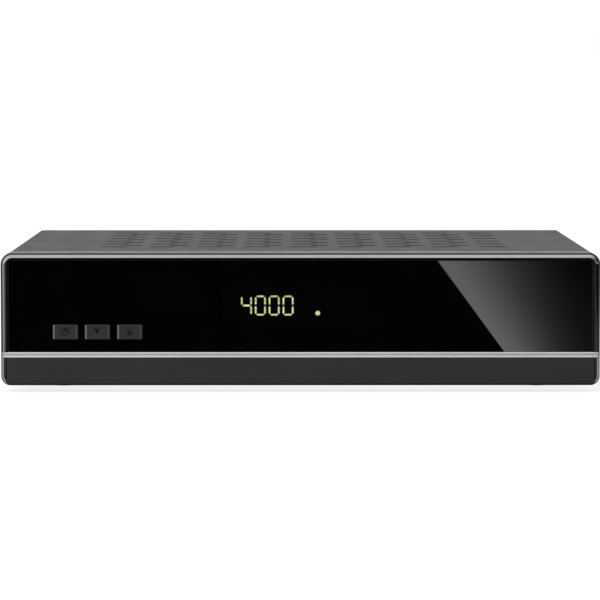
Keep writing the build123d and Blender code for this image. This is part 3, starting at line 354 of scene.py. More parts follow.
def makeWorld():
    # White where it is seen, but dimmer as a light.
    world = bpy.data.worlds.new("studio")
    bpy.context.scene.world = world
    world.use_nodes = True
    tree = world.node_tree
    background = tree.nodes["Background"]
    background.inputs["Color"].default_value = (1, 1, 1, 1)
    strength = mapRange(tree, seenRays(tree), 0, 1, studio["ambient"], 1)
    tree.links.new(strength, background.inputs["Strength"])


def makeSoftbox(name, box):
    data = bpy.data.lights.new(name, "AREA")
    data.shape = "RECTANGLE"
    data.size, data.size_y = box["size"]
    data.energy = box["watts"]
    lamp = bpy.data.objects.new(name, data)
    lamp.location = box["place"]
    aim = np.array(box["aim"]) - np.array(box["place"])
    lamp.rotation_euler = Vector(aim).to_track_quat("-Z", "Y").to_euler()
    bpy.context.scene.collection.objects.link(lamp)


def flatCard(name, low, high, level, material):
    # A level rectangle of the stage, low and high being opposite corners in X and Y.
    mesh = bpy.data.meshes.new(name)
    corners = ((low[0], low[1]), (high[0], low[1]), (high[0], high[1]), (low[0], high[1]))
    mesh.from_pydata([(x, y, level) for x, y in corners], [], [(0, 1, 2, 3)])
    mesh.materials.append(material)
    card = bpy.data.objects.new(name, mesh)
    bpy.context.scene.collection.objects.link(card)
    return card


def onlyInReflections(card):
    card.visible_camera = False
    card.visible_diffuse = False
    card.visible_volume_scatter = False
    card.visible_shadow = False


def makeFloor():
    floor = studio["floor"]
    material, tree, shader = newMaterial("studioFloor")
    seen = seenRays(tree)
    tone = mixColor(tree, seen, (floor["color"],) * 3, (floor["seenColor"],) * 3)
    # The glow that keeps the floor white rises with the distance from the lamps
    away = addNode(tree, "ShaderNodeVectorMath", operation="LENGTH")
    tree.links.new(objectAxes(tree)[0], away.inputs[0])
    rise = mapRange(tree, away.outputs["Value"], floor["near"], floor["far"], *floor["glow"])
    feedAll(tree, shader, {
        "Base Color": tone, "Roughness": 1, "Specular IOR Level": 0, "Emission Color": (1, 1, 1, 1),
        "Emission Strength": times(tree, seen, rise),
    })
    flatCard("studioFloor", (-floor["reach"],) * 2, (floor["reach"],) * 2, 0, material)


# Black flags lie on the floor before and beside the receiver. They keep its glossy front dark, and pale
# towards the left by the tangent of the angle from straight ahead, seen from the foot of the left rim.
floorFlags = {
    "level": 0.0015, "footX": -0.129, "footY": -0.088, "startTangent": 0.1, "rise": 1.35, "most": 0.85,
    "places": {
        "frontFlag": {"low": (-1.2, -1.75), "high": (2.5, -0.088)},
        "rightFlag": {"low": (0.1315, -0.088), "high": (2.5, 1.4)},
    },
}


def makeFloorFlags():
    look = floorFlags
    material, tree, glow = glowMaterial("blackFlag")
    coords, x, y, z = objectAxes(tree)
    left = minus(tree, look["footX"], x)
    ahead = mathNode(tree, "MAXIMUM", minus(tree, look["footY"], y), mm)
    tangent = mathNode(tree, "DIVIDE", left, ahead)
    pale = pastStart(tree, tangent, look["startTangent"], look["rise"])
    tree.links.new(within(tree, pale, 0.0, look["most"]), glow.inputs["Strength"])
    for name, place in look["places"].items():
        onlyInReflections(flatCard(name, place["low"], place["high"], look["level"], material))


# An upright flag far before the right upper corner of the receiver, which darkens as its reflection turns
# round that corner, by the tangent of the angle from upright at the point turnX, turnZ.
cornerFlag = {
    "low": (0.18, 0.05), "high": (1.6, 0.9), "standsAtY": -1.0, "turnX": 0.17, "turnZ": -0.013,
    "startTangent": 0.4, "fall": 0.9, "least": 0.08,
}


def makeCornerFlag():
    # A quarter turn about X stands it up, so its own Y is the height.
    look = cornerFlag
    material, tree, glow = glowMaterial("cornerFlag")
    coords, x, y, z = objectAxes(tree)
    aside = minus(tree, x, look["turnX"])
    tangent = mathNode(tree, "DIVIDE", aside, minus(tree, y, look["turnZ"]))
    fallen = pastStart(tree, tangent, look["startTangent"], look["fall"])
    pale = within(tree, minus(tree, 1.0, fallen), look["least"], 1.0)
    tree.links.new(pale, glow.inputs["Strength"])
    flag = flatCard("cornerFlag", look["low"], look["high"], 0, material)
    flag.location.y = look["standsAtY"]
    flag.rotation_euler.x = math.radians(90)
    onlyInReflections(flag)


# A card before the receiver that lays the slanting gleam on its panel. Its strength falls as a bell from its
# straight left edge, and the bell widens away from the receiver, while a low tail under it fades out.
gleamCard = {
    "nearY": -0.2, "farY": -1.35, "edgeX": 0.0993, "rightX": 0.30, "level": 0.003,
    "color": (1, 0.99, 0.97), "strength": 2.75, "bellWidth": 0.0100, "bellSpread": -0.0342,
    "bellPower": 1.65, "tailNear": 0.102, "tailSlope": 0.117,
}


def makeGleamCard():
    look = gleamCard
    material, tree, glow = glowMaterial("gleamCard")
    glow.inputs["Color"].default_value = (*look["color"], 1)
    coords, x, y, z = objectAxes(tree)
    width = linear(tree, y, look["bellSpread"], look["bellWidth"])
    away = mathNode(tree, "DIVIDE", minus(tree, x, look["edgeX"]), width)
    steep = mathNode(tree, "POWER", mathNode(tree, "MAXIMUM", away, 0.0), look["bellPower"])
    bell = mathNode(tree, "EXPONENT", times(tree, steep, -1.0))
    tail = mathNode(tree, "MAXIMUM", linear(tree, y, look["tailSlope"], look["tailNear"]), 0.0)
    strength = mathNode(tree, "ADD", times(tree, bell, look["strength"]), tail)
    tree.links.new(strength, glow.inputs["Strength"])
    low, high = (look["edgeX"], look["farY"]), (look["rightX"], look["nearY"])
    onlyInReflections(flatCard("gleamCard", low, high, look["level"], material))


makeCamera()
makeWorld()
makeFloor()
makeFloorFlags()
makeCornerFlag()
makeGleamCard()
for boxName, box in studio["softboxes"].items():
    makeSoftbox(boxName, box)
print("camera, lights and stage ready")


# Finishes of the front

silverLook = {
    "color": (0.44, 0.442, 0.46), "vary": 0.04, "roughness": (0.05, 0.08), "metallic": 1, "grainMm": 4.0,
    "grainDepthMm": 0.001, "bump": 0.05, "driftMm": 25, "wearMm": 14,
}
stripLook = {"color": (0.62, 0.615, 0.635), "roughness": (0.34, 0.42), "metallic": 0.3}
# Painted highlight: a pale line along the bezel's rounded rim, for the light it catches.
rimHighlight = {
    "cornerMm": 4.2, "fromMm": 0.5, "toMm": 1.15, "topMm": 17.5, "depthMm": 0.2, "color": (0.30, 0.30, 0.31),
}


def paintRimHighlight(tree, base, coords, x, y, z):
    # Painted highlight: a pale line, for the light caught by the rounded rim, that runs down beside the flap
    # and round the lower corners, at an even distance from
    # the outline: corner radius less the length of (|x| - straight part, straight part - z), both from 0 up.
    low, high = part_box("front_bezel")
    corner = rimHighlight["cornerMm"] * mm
    sideways = minus(tree, mathNode(tree, "ABSOLUTE", x), high[0] - corner)
    downward = minus(tree, low[2] + corner, z)
    beyond = [mathNode(tree, "MAXIMUM", way, 0.0) for way in (sideways, downward)]
    squares = [times(tree, way, way) for way in beyond]
    inset = minus(tree, corner, mathNode(tree, "SQRT", mathNode(tree, "ADD", *squares)))
    line = inBand(tree, inset, rimHighlight["fromMm"], rimHighlight["toMm"])
    for axis, most in ((z, rimHighlight["topMm"] * mm), (y, low[1] + rimHighlight["depthMm"] * mm)):
        line = times(tree, line, mathNode(tree, "LESS_THAN", axis, most))
    return mixColor(tree, line, base, rimHighlight["color"])


stripSilver = finish("stripSilver", {**silverLook, **stripLook})
# The bezel's finish carries the painted rim highlight.
bezelBlack = finish("bezelBlack", {
    "color": (0.0225, 0.0215, 0.022), "vary": 0.1, "roughness": (0.34, 0.42), "grainMm": 1.2,
    "grainDepthMm": 0.004, "bump": 0.15, "specular": 0.35,
}, paintRimHighlight)
panelBlack = finish("panelBlack", {
    "color": (0.0012, 0.0011, 0.0012), "vary": 0.25, "roughness": (0.004, 0.014), "grainMm": 40,
    "grainDepthMm": 0.001, "bump": 0.05, "wearMm": 22,
})
flapGrain = finish("flapGrain", {
    "color": (0.0225, 0.0205, 0.0213), "vary": 0.1, "roughness": (0.52, 0.62), "grainDepthMm": 0.02,
    "driftMm": 30, "specular": 0.35,
})

smokedLens = {
    "darker": (0.045, 0.045, 0.048), "paler": (0.055, 0.055, 0.058), "roughness": (0.0, 0.02), "clear": 0.975,
    "refraction": 1.49, "stainMm": 14, "polishMm": 22,
}
diffuser = {
    "unlit": (0.16, 0.17, 0.08), "greener": (0.68, 0.74, 0.22), "paler": (0.80, 0.82, 0.46),
    "roughness": 0.55, "cloudMm": 1.6, "cloudRange": (0.85, 1.1), "barStrength": 4.4, "dotStrength": 4.3,
    "dotLitMm": 1.0,
}


def makeLensGlass():
    # Clear acrylic stained so dark that only what is lit behind it shows.
    material, tree, shader = newMaterial("smokedLens")
    coords = objectAxes(tree)[0]
    stain = noiseValue(tree, coords, smokedLens["stainMm"], 3)
    stain = mixColor(tree, stain, smokedLens["darker"], smokedLens["paler"])
    polish = noiseValue(tree, coords, smokedLens["polishMm"], 4)
    polish = spread(tree, polish, *smokedLens["roughness"])
    feedAll(tree, shader, {
        "Base Color": stain, "Roughness": polish, "Transmission Weight": smokedLens["clear"],
        "IOR": smokedLens["refraction"],
    })
    return material


def makeLitMaterial(name, strength, front=None):
    # A lit diffuser with cloudy light. Where its front is given, the glow fades out behind it.
    material, tree, shader = newMaterial(name)
    coords, x, y, z = objectAxes(tree)
    cloud = noiseValue(tree, coords, diffuser["cloudMm"], 2)
    tone = mixColor(tree, spread(tree, cloud, 0, 1), diffuser["greener"], diffuser["paler"])
    low, high = diffuser["cloudRange"]
    glow = spread(tree, cloud, strength * low, strength * high)
    if front is not None:
        fade = mapRange(tree, y, front, front + diffuser["dotLitMm"] * mm, 1, 0)
        glow = times(tree, glow, fade)
    feedAll(tree, shader, {
        "Base Color": (*diffuser["unlit"], 1), "Roughness": diffuser["roughness"], "Emission Color": tone,
        "Emission Strength": glow,
    })
    return material


litBars = makeLitMaterial("litBars", diffuser["barStrength"])
litDot = makeLitMaterial("litDot", diffuser["dotStrength"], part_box("status_led")[0][1])
dress(bezelBlack, "front_bezel")
dress(stripSilver, "trim_strip")
dress(panelBlack, "gloss_panel")
dress(flapGrain, "front_flap")
dress(makeLensGlass(), "display_window")
dress(litDot, "status_led")
print("front finishes ready")


# Lit bars of the display

digitBars = {
    "centresMm": (-23.48, -17.45, -11.42, -5.39), "levelMm": 37.7,
    "sideMm": 2.01,  # from a digit's centre to the middle of its upright bars
    "reachMm": 4.0,  # and to the middle of its top and bottom bars
    "strokeMm": 0.85, "gapMm": 0.28, "rimMm": 0.05, "lit": ("fgbc", "abcdef", "abcdef", "abcdef"),
}
# Where each bar begins and ends, in halves of the digit's width and height
barEnds = {
    "a": ((-1, 1), (1, 1)),
    "b": ((1, 1), (1, 0)),
    "c": ((1, 0), (1, -1)),
    "d": ((-1, -1), (1, -1)),
    "e": ((-1, 0), (-1, -1)),
    "f": ((-1, 1), (-1, 0)),
    "g": ((-1, 0), (1, 0)),
}


def barOutline(start, end, along, half, inset):
    # A long hexagon between two corners of the digit, pointed at both ends and drawn in by the inset.
    start, end, half = start + along * inset, end - along * inset, half - inset
    step, aside = along * half, np.array([-along[1], along[0]]) * half
    return np.array([
        start, start + step + aside, end - step + aside, end, end - step - aside, start + step - aside,
    ])


def makeDisplayBars():
    low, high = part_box("display_segments")
    front, back = low[1] / mm, high[1] / mm
    size = (digitBars["sideMm"], digitBars["reachMm"])
    half, rim, gap = digitBars["strokeMm"] / 2, digitBars["rimMm"], digitBars["gapMm"]
    parts = []
    for centre, letters in zip(digitBars["centresMm"], digitBars["lit"]):
        for letter in letters:
            start, end = np.array(barEnds[letter]) * size + (centre, digitBars["levelMm"])
            along = (end - start) / np.linalg.norm(end - start)
            start, end = start + along * gap, end - along * gap
            rings = []
            for inset, y in ((0, back), (0, front + rim), (rim, front)):
                outline = barOutline(start, end, along, half, inset)
                rings.append(np.stack([outline[:, 0], np.full(6, y), outline[:, 1]], axis=-1))
            parts.append(gridMesh("bar", np.array(rings) * mm, sharpAngle=30))
    piece = joinPieces("displayBars", parts)
    dressPiece(piece, litBars, "housing", "lit_segment", "display_segments")


makeDisplayBars()
print("display bars made")


# Silver frame

stirrup = {
    "cornerMm": 4.3, "widthMm": 2.8, "crownMm": 1.45,
    "silverMm": 1.43,  # from the outer edge to where the silver ends
    "blendMm": 0.03,
    "outerDepthMm": 0.28,  # the depths are behind the front of its box
    "crownDepthMm": 0.08, "innerDepthMm": 1.0, "backDepthMm": 1.5, "samplesAcross": 30,
    "black": (0.006, 0.006, 0.008), "blackRoughness": 0.35, "specular": 0.04,
}


def stirrupPath(low, high, corner):
    # Up the left side, round two quarter circles and down the right side.
    # Gives the outline's points and the direction towards the inside at each.
    side = np.linspace(low[2], high[2] - corner, 12)[:-1]
    turn = np.linspace(0, math.pi / 2, 17)
    top = np.linspace(low[0] + corner, high[0] - corner, 40)[1:-1]
    cornerLeftX, cornerRightX, cornerZ = low[0] + corner, high[0] - corner, high[2] - corner
    x = np.concatenate([
        np.full(side.size, low[0]), cornerLeftX - corner * np.cos(turn), top,
        cornerRightX + corner * np.sin(turn), np.full(side.size, high[0]),
    ])
    z = np.concatenate([
        side, cornerZ + corner * np.sin(turn), np.full(top.size, high[2]),
        cornerZ + corner * np.cos(turn), side[::-1],
    ])
    inX = np.concatenate([
        np.ones(side.size), np.cos(turn), np.zeros(top.size), -np.sin(turn), -np.ones(side.size),
    ])
    inZ = np.concatenate([
        np.zeros(side.size), -np.sin(turn), -np.ones(top.size), -np.cos(turn), np.zeros(side.size),
    ])
    return x, z, inX, inZ


def makeFrameFinish():
    # Silver on the outer hump, satin black on the slope that leads down to the panel.
    material = finish("frameSilver", {**silverLook, "specular": stirrup["specular"]})
    tree = material.node_tree
    shader = tree.nodes["Principled BSDF"]
    silverTone = shader.inputs["Base Color"].links[0].from_socket
    silverRoughness = shader.inputs["Roughness"].links[0].from_socket
    across = addNode(tree, "ShaderNodeAttribute", attribute_name="acrossMm").outputs["Fac"]
    edge, blend = stirrup["silverMm"], stirrup["blendMm"]
    black = mapRange(tree, across, edge - blend, edge + blend)
    silver = minus(tree, 1.0, black)
    brushed = times(tree, silver, silverRoughness)
    satin = times(tree, black, stirrup["blackRoughness"])
    feedAll(tree, shader, {
        "Base Color": mixColor(tree, black, silverTone, stirrup["black"]), "Metallic": silver,
        "Roughness": mathNode(tree, "ADD", brushed, satin),
    })
    return material


def makeSilverFrame():
    # Section: a hump that rises by a parabola from the outer edge to its crown, then falls away straight
    # to the panel with a crease between, closed behind by the flat back. It follows the stirrup path.
    low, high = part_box("silver_frame")
    x, z, inX, inZ = stirrupPath(low, high, stirrup["cornerMm"] * mm)
    width, crown, top = stirrup["widthMm"], stirrup["crownMm"], stirrup["crownDepthMm"]
    across = np.linspace(0, width, stirrup["samplesAcross"])
    outer = np.clip(1 - across / crown, 0, None) ** 2 * (stirrup["outerDepthMm"] - top)
    inner = np.clip((across - crown) / (width - crown), 0, None) * (stirrup["innerDepthMm"] - top)
    depth = np.concatenate([top + outer + inner, [stirrup["backDepthMm"]] * 2])
    across = np.concatenate([across, [width, 0]])
    points = np.empty((x.size, across.size, 3))
    points[:, :, 0] = x[:, None] + inX[:, None] * across * mm
    points[:, :, 1] = low[1] + depth * mm
    points[:, :, 2] = z[:, None] + inZ[:, None] * across * mm
    piece = gridMesh("silverFrame", points, sharpAngle=20)
    storeValues(piece, "acrossMm", np.concatenate([np.tile(across, x.size), [width / 2] * 2]))
    dressPiece(piece, makeFrameFinish(), "housing", "silver_trim", "silver_frame")


makeSilverFrame()
print("silver frame made")


# Keys

keyCap = {
    "clearanceMm": 0.35,
    "capInsetMm": 1.1,  # from the flange's upper and lower edge
    "capCornerMm": 0.5, "flangeCornerMm": 0.1,
    "flangeMm": (0.7, 1.7),  # its back and front, before the stem's end
    "sideBevelMm": 0.8, "endBevelMm": 0.25, "bevelDepthMm": 0.45, "stemRadiusMm": 2.0, "dishMm": 0.06,
    "engravingMm": 0.16, "engravingEdgeMm": 0.05, "bevelRings": 7, "faceRings": 64, "around": 184,
    # the paler side bevels are a painted highlight, strongest on the left
    "highlightRight": 0.4, "highlightColor": (0.12, 0.118, 0.118), "markColor": (0.002, 0.002, 0.002),
}
keyMarks = {
    "ringRadiusMm": 1.45, "halfStrokeMm": 0.3, "halfOpeningMm": 0.75, "barMiddleMm": 0.85,
    "barHalfMm": 0.9, "triangleHalfMm": 1.45, "triangleHeightMm": 2.7, "upLoweredMm": 0.2,
}


def powerSymbol(x, z):
    # Distance to a ring open at its top, joined with a bar that stands in the opening.
    stroke = keyMarks["halfStrokeMm"]
    ring = np.abs(np.hypot(x, z) - keyMarks["ringRadiusMm"]) - stroke
    ring = np.maximum(ring, np.where(z > 0, keyMarks["halfOpeningMm"] - np.abs(x), -1))
    bar = np.maximum(np.abs(x) - stroke, np.abs(z - keyMarks["barMiddleMm"]) - keyMarks["barHalfMm"])
    return np.minimum(ring, bar)


def triangleSymbol(x, z, pointing):
    # Distance to a triangle that points up (1) or down (-1): the furthest of its three sides.
    z = z * pointing
    half, height = keyMarks["triangleHalfMm"], keyMarks["triangleHeightMm"]
    sides = (np.abs(x) * height + (z - height / 2) * half) / np.hypot(half, height)
    return np.maximum(sides, -height / 2 - z)


symbols = {
    "power": powerSymbol,
    "down": lambda x, z: triangleSymbol(x, z, -1),
    "up": lambda x, z: triangleSymbol(x, z + keyMarks["upLoweredMm"], 1),
}


def keyTones(tree, base, coords, x, y, z):
    # Painted highlight on the side bevels, paler as if they catch the light, and dark where the mark is
    # engraved.
    mark = addNode(tree, "ShaderNodeAttribute", attribute_name="engraved")
    bevelHighlight = addNode(tree, "ShaderNodeAttribute", attribute_name="bevelHighlight")
    tone = mixColor(tree, bevelHighlight.outputs["Fac"], base, keyCap["highlightColor"])
    return mixColor(tree, mark.outputs["Fac"], tone, keyCap["markColor"])


keySatin = finish("keySatin", {
    "color": (0.0260, 0.0248, 0.0250), "vary": 0.08, "roughness": (0.3, 0.4), "grainMm": 0.8,
    "grainDepthMm": 0.003, "bump": 0.15, "specular": 0.3,
}, keyTones)


def makeKey(keyName):
    # Rings carried from the stem's end, over the flange and the rounded bevel, to the middle of the face.
    # The face is sunk by a shallow dish, and by the engraving where the symbol's distance is below zero.
    low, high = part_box("button_" + keyName)
    centreX, centreZ = (low[0] + high[0]) / 2, (low[2] + high[2]) / 2
    count = keyCap["around"]
    halfWidth = (high[0] - low[0]) / 2 / mm
    flangeHalf = (high[2] - low[2]) / 2 / mm
    capWidth, capHalf = halfWidth - keyCap["clearanceMm"], flangeHalf - keyCap["capInsetMm"]
    front, back = low[1] / mm, high[1] / mm
    flangeBack, flangeFront = (back - before for before in keyCap["flangeMm"])
    sideBevel, endBevel, capCorner = keyCap["sideBevelMm"], keyCap["endBevelMm"], keyCap["capCornerMm"]
    stem = roundedLoop(keyCap["stemRadiusMm"], keyCap["stemRadiusMm"], keyCap["stemRadiusMm"], count)
    flange = roundedLoop(halfWidth, flangeHalf, keyCap["flangeCornerMm"], count)
    cap = roundedLoop(capWidth, capHalf, capCorner, count)
    rings = [(*stem, back), (*stem, flangeBack), (*flange, flangeBack)]
    rings += [(*flange, flangeFront), (*cap, flangeFront)]
    bevelFrom = len(rings)
    for angle in np.linspace(0, math.pi / 2, keyCap["bevelRings"]):
        inset = 1 - math.cos(angle)
        rise = keyCap["bevelDepthMm"] * (1 - math.sin(angle))
        bevelCorner = capCorner - endBevel * inset
        loop = roundedLoop(capWidth - sideBevel * inset, capHalf - endBevel * inset, bevelCorner, count)
        rings.append((*loop, front + rise))
    faceX, faceZ, _ = rings[-1]
    shrink = np.linspace(1, 0, keyCap["faceRings"] + 1)[1:-1, None]
    gridX, gridZ = faceX * shrink, faceZ * shrink
    dish = keyCap["dishMm"] * (1 - shrink**2) ** 2
    edge = keyCap["engravingEdgeMm"]
    mark = 1 - smoothStep(-edge, edge, symbols[keyName](gridX, gridZ))
    shell = np.array([np.stack([x, np.full(count, y), z], axis=-1) for x, z, y in rings])
    face = np.stack([gridX, front + dish + keyCap["engravingMm"] * mark, gridZ], axis=-1)
    points = np.concatenate([shell, face]) * mm
    points[:, :, 0] += centreX
    points[:, :, 2] += centreZ
    piece = gridMesh("key" + keyName.capitalize(), points, sharpAngle=40)
    engraved = np.concatenate([np.zeros(len(shell) * count), mark.ravel(), [0, mark[-1].mean()]])
    storeValues(piece, "engraved", engraved)
    # The bevel's side rings get the painted highlight, full on the left and less on the right
    bevelHighlight = np.zeros(points.shape[:2])
    ringX, ringZ = shell[bevelFrom:, :, 0], shell[bevelFrom:, :, 2]
    onSide = (np.abs(ringZ) < capHalf - endBevel) * (np.abs(ringX) > capWidth - sideBevel - 0.01)
    bevelHighlight[bevelFrom:len(shell)] = onSide * np.where(ringX < 0, 1.0, keyCap["highlightRight"])
    storeValues(piece, "bevelHighlight", np.append(bevelHighlight.ravel(), [0, 0]))
    dressPiece(piece, keySatin, keyName + "_key", "key_grey", "button_" + keyName)


for keyName in symbols:
    makeKey(keyName)
print("keys made")


# Case finishes

powderCoat = {
    "color": (0.0278, 0.0281, 0.0330), "vary": 0.06, "roughness": (0.5, 0.6), "grainMm": 0.7,
    "grainDepthMm": 0.05, "bump": 0.35, "driftMm": 40, "specular": 0.145,
    "speck": {"sizeMm": 0.5, "from": 0.66, "color": (0.055, 0.057, 0.066)},
}
# Painted shade inside the vent slots of the top.
ventShade = {"xMm": (-122, 122), "yMm": (-82.5, 83), "zMm": (59.7, 60.596), "color": (0.006, 0.006, 0.006)}


def ventShadeColor(tree, base, coords, x, y, z):
    # Painted shade: the punched walls of the vents in the top are coloured near black for the shade inside
    # the slots.
    wall = times(tree, inBand(tree, z, *ventShade["zMm"]), inBand(tree, x, *ventShade["xMm"]))
    wall = times(tree, wall, inBand(tree, y, *ventShade["yMm"]))
    return mixColor(tree, wall, base, ventShade["color"])


# The cover's paint carries the painted shade in its vents.
coverPaint = finish("coverPaint", powderCoat, ventShadeColor)
rearPaint = finish("rearPaint", {**powderCoat, "driftMm": 25})
trayZinc = finish("trayZinc", {
    "color": (0.50, 0.51, 0.52), "vary": 0.16, "roughness": (0.3, 0.5), "metallic": 0.95, "driftMm": 9,
    "grainMm": 1.6, "grainDepthMm": 0.01, "bump": 0.2,
})
footRubber = finish("footRubber", {
    "color": (0.016, 0.016, 0.016), "vary": 0.2, "roughness": (0.7, 0.85), "grainMm": 0.3,
    "grainDepthMm": 0.04, "bump": 0.5,
})
screwZinc = finish("screwZinc", {
    "color": (0.50, 0.50, 0.49), "vary": 0.1, "roughness": (0.25, 0.4), "metallic": 1, "grainMm": 0.3,
    "grainDepthMm": 0.006, "bump": 0.25, "driftMm": 3,
})
dress(coverPaint, "top_cover")
dress(rearPaint, "rear_panel")
dress(trayZinc, "chassis_tray")
dress(footRubber, "rubber_feet")
dress(screwZinc, "front_board_screws", "board_screws")
print("case finishes ready")


# Case screws with a cross recess

caseScrew = {
    "sideSeatsMm": (-42, 46), "sideTurns": (0.4, 1.4), "sideShankMm": 4.0, "rearSeatsMm": (-85, 0, 85),
    "rearTurns": (0.2, 0.8, 1.4), "rearShankMm": 3.8, "shankRadiusMm": 1.2, "tipRadiusMm": 0.5,
    "tipLengthMm": 0.6, "headRadiusMm": 3.0, "headHeightMm": 1.8, "headRimMm": 0.75, "domeRings": 26,
    "domeMiddle": 0.04, "recessMm": 1.1, "armHalfMm": 0.42, "armLengthMm": 1.75,
    "armEdgeMm": (-0.1, 0.08), "recessRise": 0.25, "around": 72,
}


def makeScrew(seat, outward, shankMm, turned):
    # A profile spun about the screw's axis. On the head the cross is sunk where either arm covers the point,
    # and it grows shallower towards the ends of its arms.
    angle = np.linspace(0, 2 * math.pi, caseScrew["around"], endpoint=False)
    headRadius, headHeight, rim = caseScrew["headRadiusMm"], caseScrew["headHeightMm"], caseScrew["headRimMm"]
    shankRadius = caseScrew["shankRadiusMm"]
    profile = np.array([
        (caseScrew["tipRadiusMm"], -shankMm), (shankRadius, caseScrew["tipLengthMm"] - shankMm),
        (shankRadius, 0), (headRadius, 0),
    ])
    domeRadius = np.linspace(1, caseScrew["domeMiddle"], caseScrew["domeRings"]) * headRadius
    domeHeight = rim + (headHeight - rim) * np.sqrt(np.clip(1 - (domeRadius / headRadius) ** 3, 0, 1))
    radius = np.concatenate([profile[:, 0], domeRadius])[:, None]
    height = np.concatenate([profile[:, 1], domeHeight])[:, None]
    a, b = np.abs(radius * np.cos(angle + turned)), np.abs(radius * np.sin(angle + turned))
    armHalf, armLength = caseScrew["armHalfMm"], caseScrew["armLengthMm"]
    arm = np.minimum(np.maximum(a - armHalf, b - armLength), np.maximum(b - armHalf, a - armLength))
    sunk = caseScrew["recessMm"] * (1 - smoothStep(*caseScrew["armEdgeMm"], arm))
    sunk = np.clip(sunk * (1 - caseScrew["recessRise"] * radius), 0, None)
    height = height - sunk * (height > headHeight / 2)
    outward, upward = np.array(outward, float), np.array([0, 0, 1.0])
    sideways = np.cross(upward, outward)
    radial = np.cos(angle)[None, :, None] * sideways + np.sin(angle)[None, :, None] * upward
    points = np.array(seat) + mm * (radius[:, :, None] * radial + height[:, :, None] * outward)
    return gridMesh("screw", points, sharpAngle=30)


def makeCaseScrews():
    # Two on each side and three at the rear, each turned to another angle.
    low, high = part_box("case_screws")
    head, radius = caseScrew["headHeightMm"] * mm, caseScrew["headRadiusMm"] * mm
    parts = []
    for sign, seatX in ((-1, low[0] + head), (1, high[0] - head)):
        for seatMm, turned in zip(caseScrew["sideSeatsMm"], caseScrew["sideTurns"]):
            seat = (seatX, seatMm * mm, low[2] + radius)
            parts.append(makeScrew(seat, (sign, 0, 0), caseScrew["sideShankMm"], turned))
    for seatMm, turned in zip(caseScrew["rearSeatsMm"], caseScrew["rearTurns"]):
        seat = (seatMm * mm, high[1] - head, high[2] - radius)
        parts.append(makeScrew(seat, (0, 1, 0), caseScrew["rearShankMm"], turned))
    piece = joinPieces("caseScrews", parts)
    dressPiece(piece, screwZinc, "housing", "screw_steel", "case_screws")


makeCaseScrews()
print("case screws made")


# Sockets on the rear

phonoBands = {
    "collarMm": 84.6,
    "placesMm": ((9.0, 23.5), (23.5, 37.5), (37.5, 52.0)),
    "colors": ((0.78, 0.25, 0.02), (0.70, 0.70, 0.67), (0.50, 0.018, 0.015)),
}


def phonoColors(tree, base, coords, x, y, z):
    # Black body, with an orange, a white and a red insert and collar from the bottom upwards.
    collar = mathNode(tree, "GREATER_THAN", y, phonoBands["collarMm"] * mm)
    for placeMm, color in zip(phonoBands["placesMm"], phonoBands["colors"]):
        band = times(tree, inBand(tree, z, *placeMm), collar)
        base = mixColor(tree, band, base, color)
    return base


nickelPlate = finish("nickelPlate", {
    "color": (0.62, 0.605, 0.56), "vary": 0.06, "roughness": (0.14, 0.24), "metallic": 1, "grainMm": 0.4,
    "grainDepthMm": 0.004, "bump": 0.2, "driftMm": 5,
})
socketNylon = finish("socketNylon", {
    "color": (0.016, 0.016, 0.017), "vary": 0.2, "roughness": (0.38, 0.5), "grainMm": 0.3,
    "grainDepthMm": 0.012, "bump": 0.35,
})
tinnedShell = finish("tinnedShell", {
    "color": (0.6, 0.6, 0.585), "vary": 0.08, "roughness": (0.22, 0.34), "metallic": 1,
    "grainDepthMm": 0.005, "bump": 0.2, "driftMm": 6,
})
whiteInsulator = finish("whiteInsulator", {
    "color": (0.74, 0.74, 0.71), "vary": 0.05, "roughness": (0.42, 0.55), "grainMm": 0.4,
    "grainDepthMm": 0.01, "bump": 0.25,
})
phonoInserts = finish("phonoInserts", {
    "color": (0.02, 0.02, 0.021), "vary": 0.15, "roughness": (0.3, 0.42), "grainMm": 0.4,
    "grainDepthMm": 0.008, "bump": 0.25,
}, phonoColors)
contactTongues = finish("contactTongues", {  # dark, with gold contact strips side by side
    "color": (0.018, 0.018, 0.02), "vary": 0.15, "roughness": (0.3, 0.4), "grainMm": 0.3,
    "grainDepthMm": 0.005, "bump": 0.2,
}, stripes("x", 2.2, 0.3, (0.72, 0.47, 0.17)))
rockerGloss = finish("rockerGloss", {
    "color": (0.016, 0.016, 0.016), "vary": 0.2, "roughness": (0.2, 0.3), "grainMm": 0.4,
    "grainDepthMm": 0.005, "bump": 0.2,
})
dress(socketNylon, "lan_socket", "scart_socket", "mains_inlet", "switch_housing")
dress(tinnedShell, "hdmi_socket", "usb_rear_socket", "usb_front_socket", "tuner_can", "tact_switches")
dress(whiteInsulator, "aerial_insulators")
dress(nickelPlate, "aerial_nuts", "phono_rings", "inlet_pins")
dress(phonoInserts, "phono_block")
dress(contactTongues, "socket_tongues")
dress(rockerGloss, "mains_rocker")

aerialThread = {
    "startMm": 87.6, "pitchMm": 0.794, "depthMm": 0.42, "fadeMm": (-0.05, 0.4), "boreMm": 3.4,
    "neckMm": 4.5, "crestMm": 4.7, "leadInMm": 0.5, "around": 72,
}


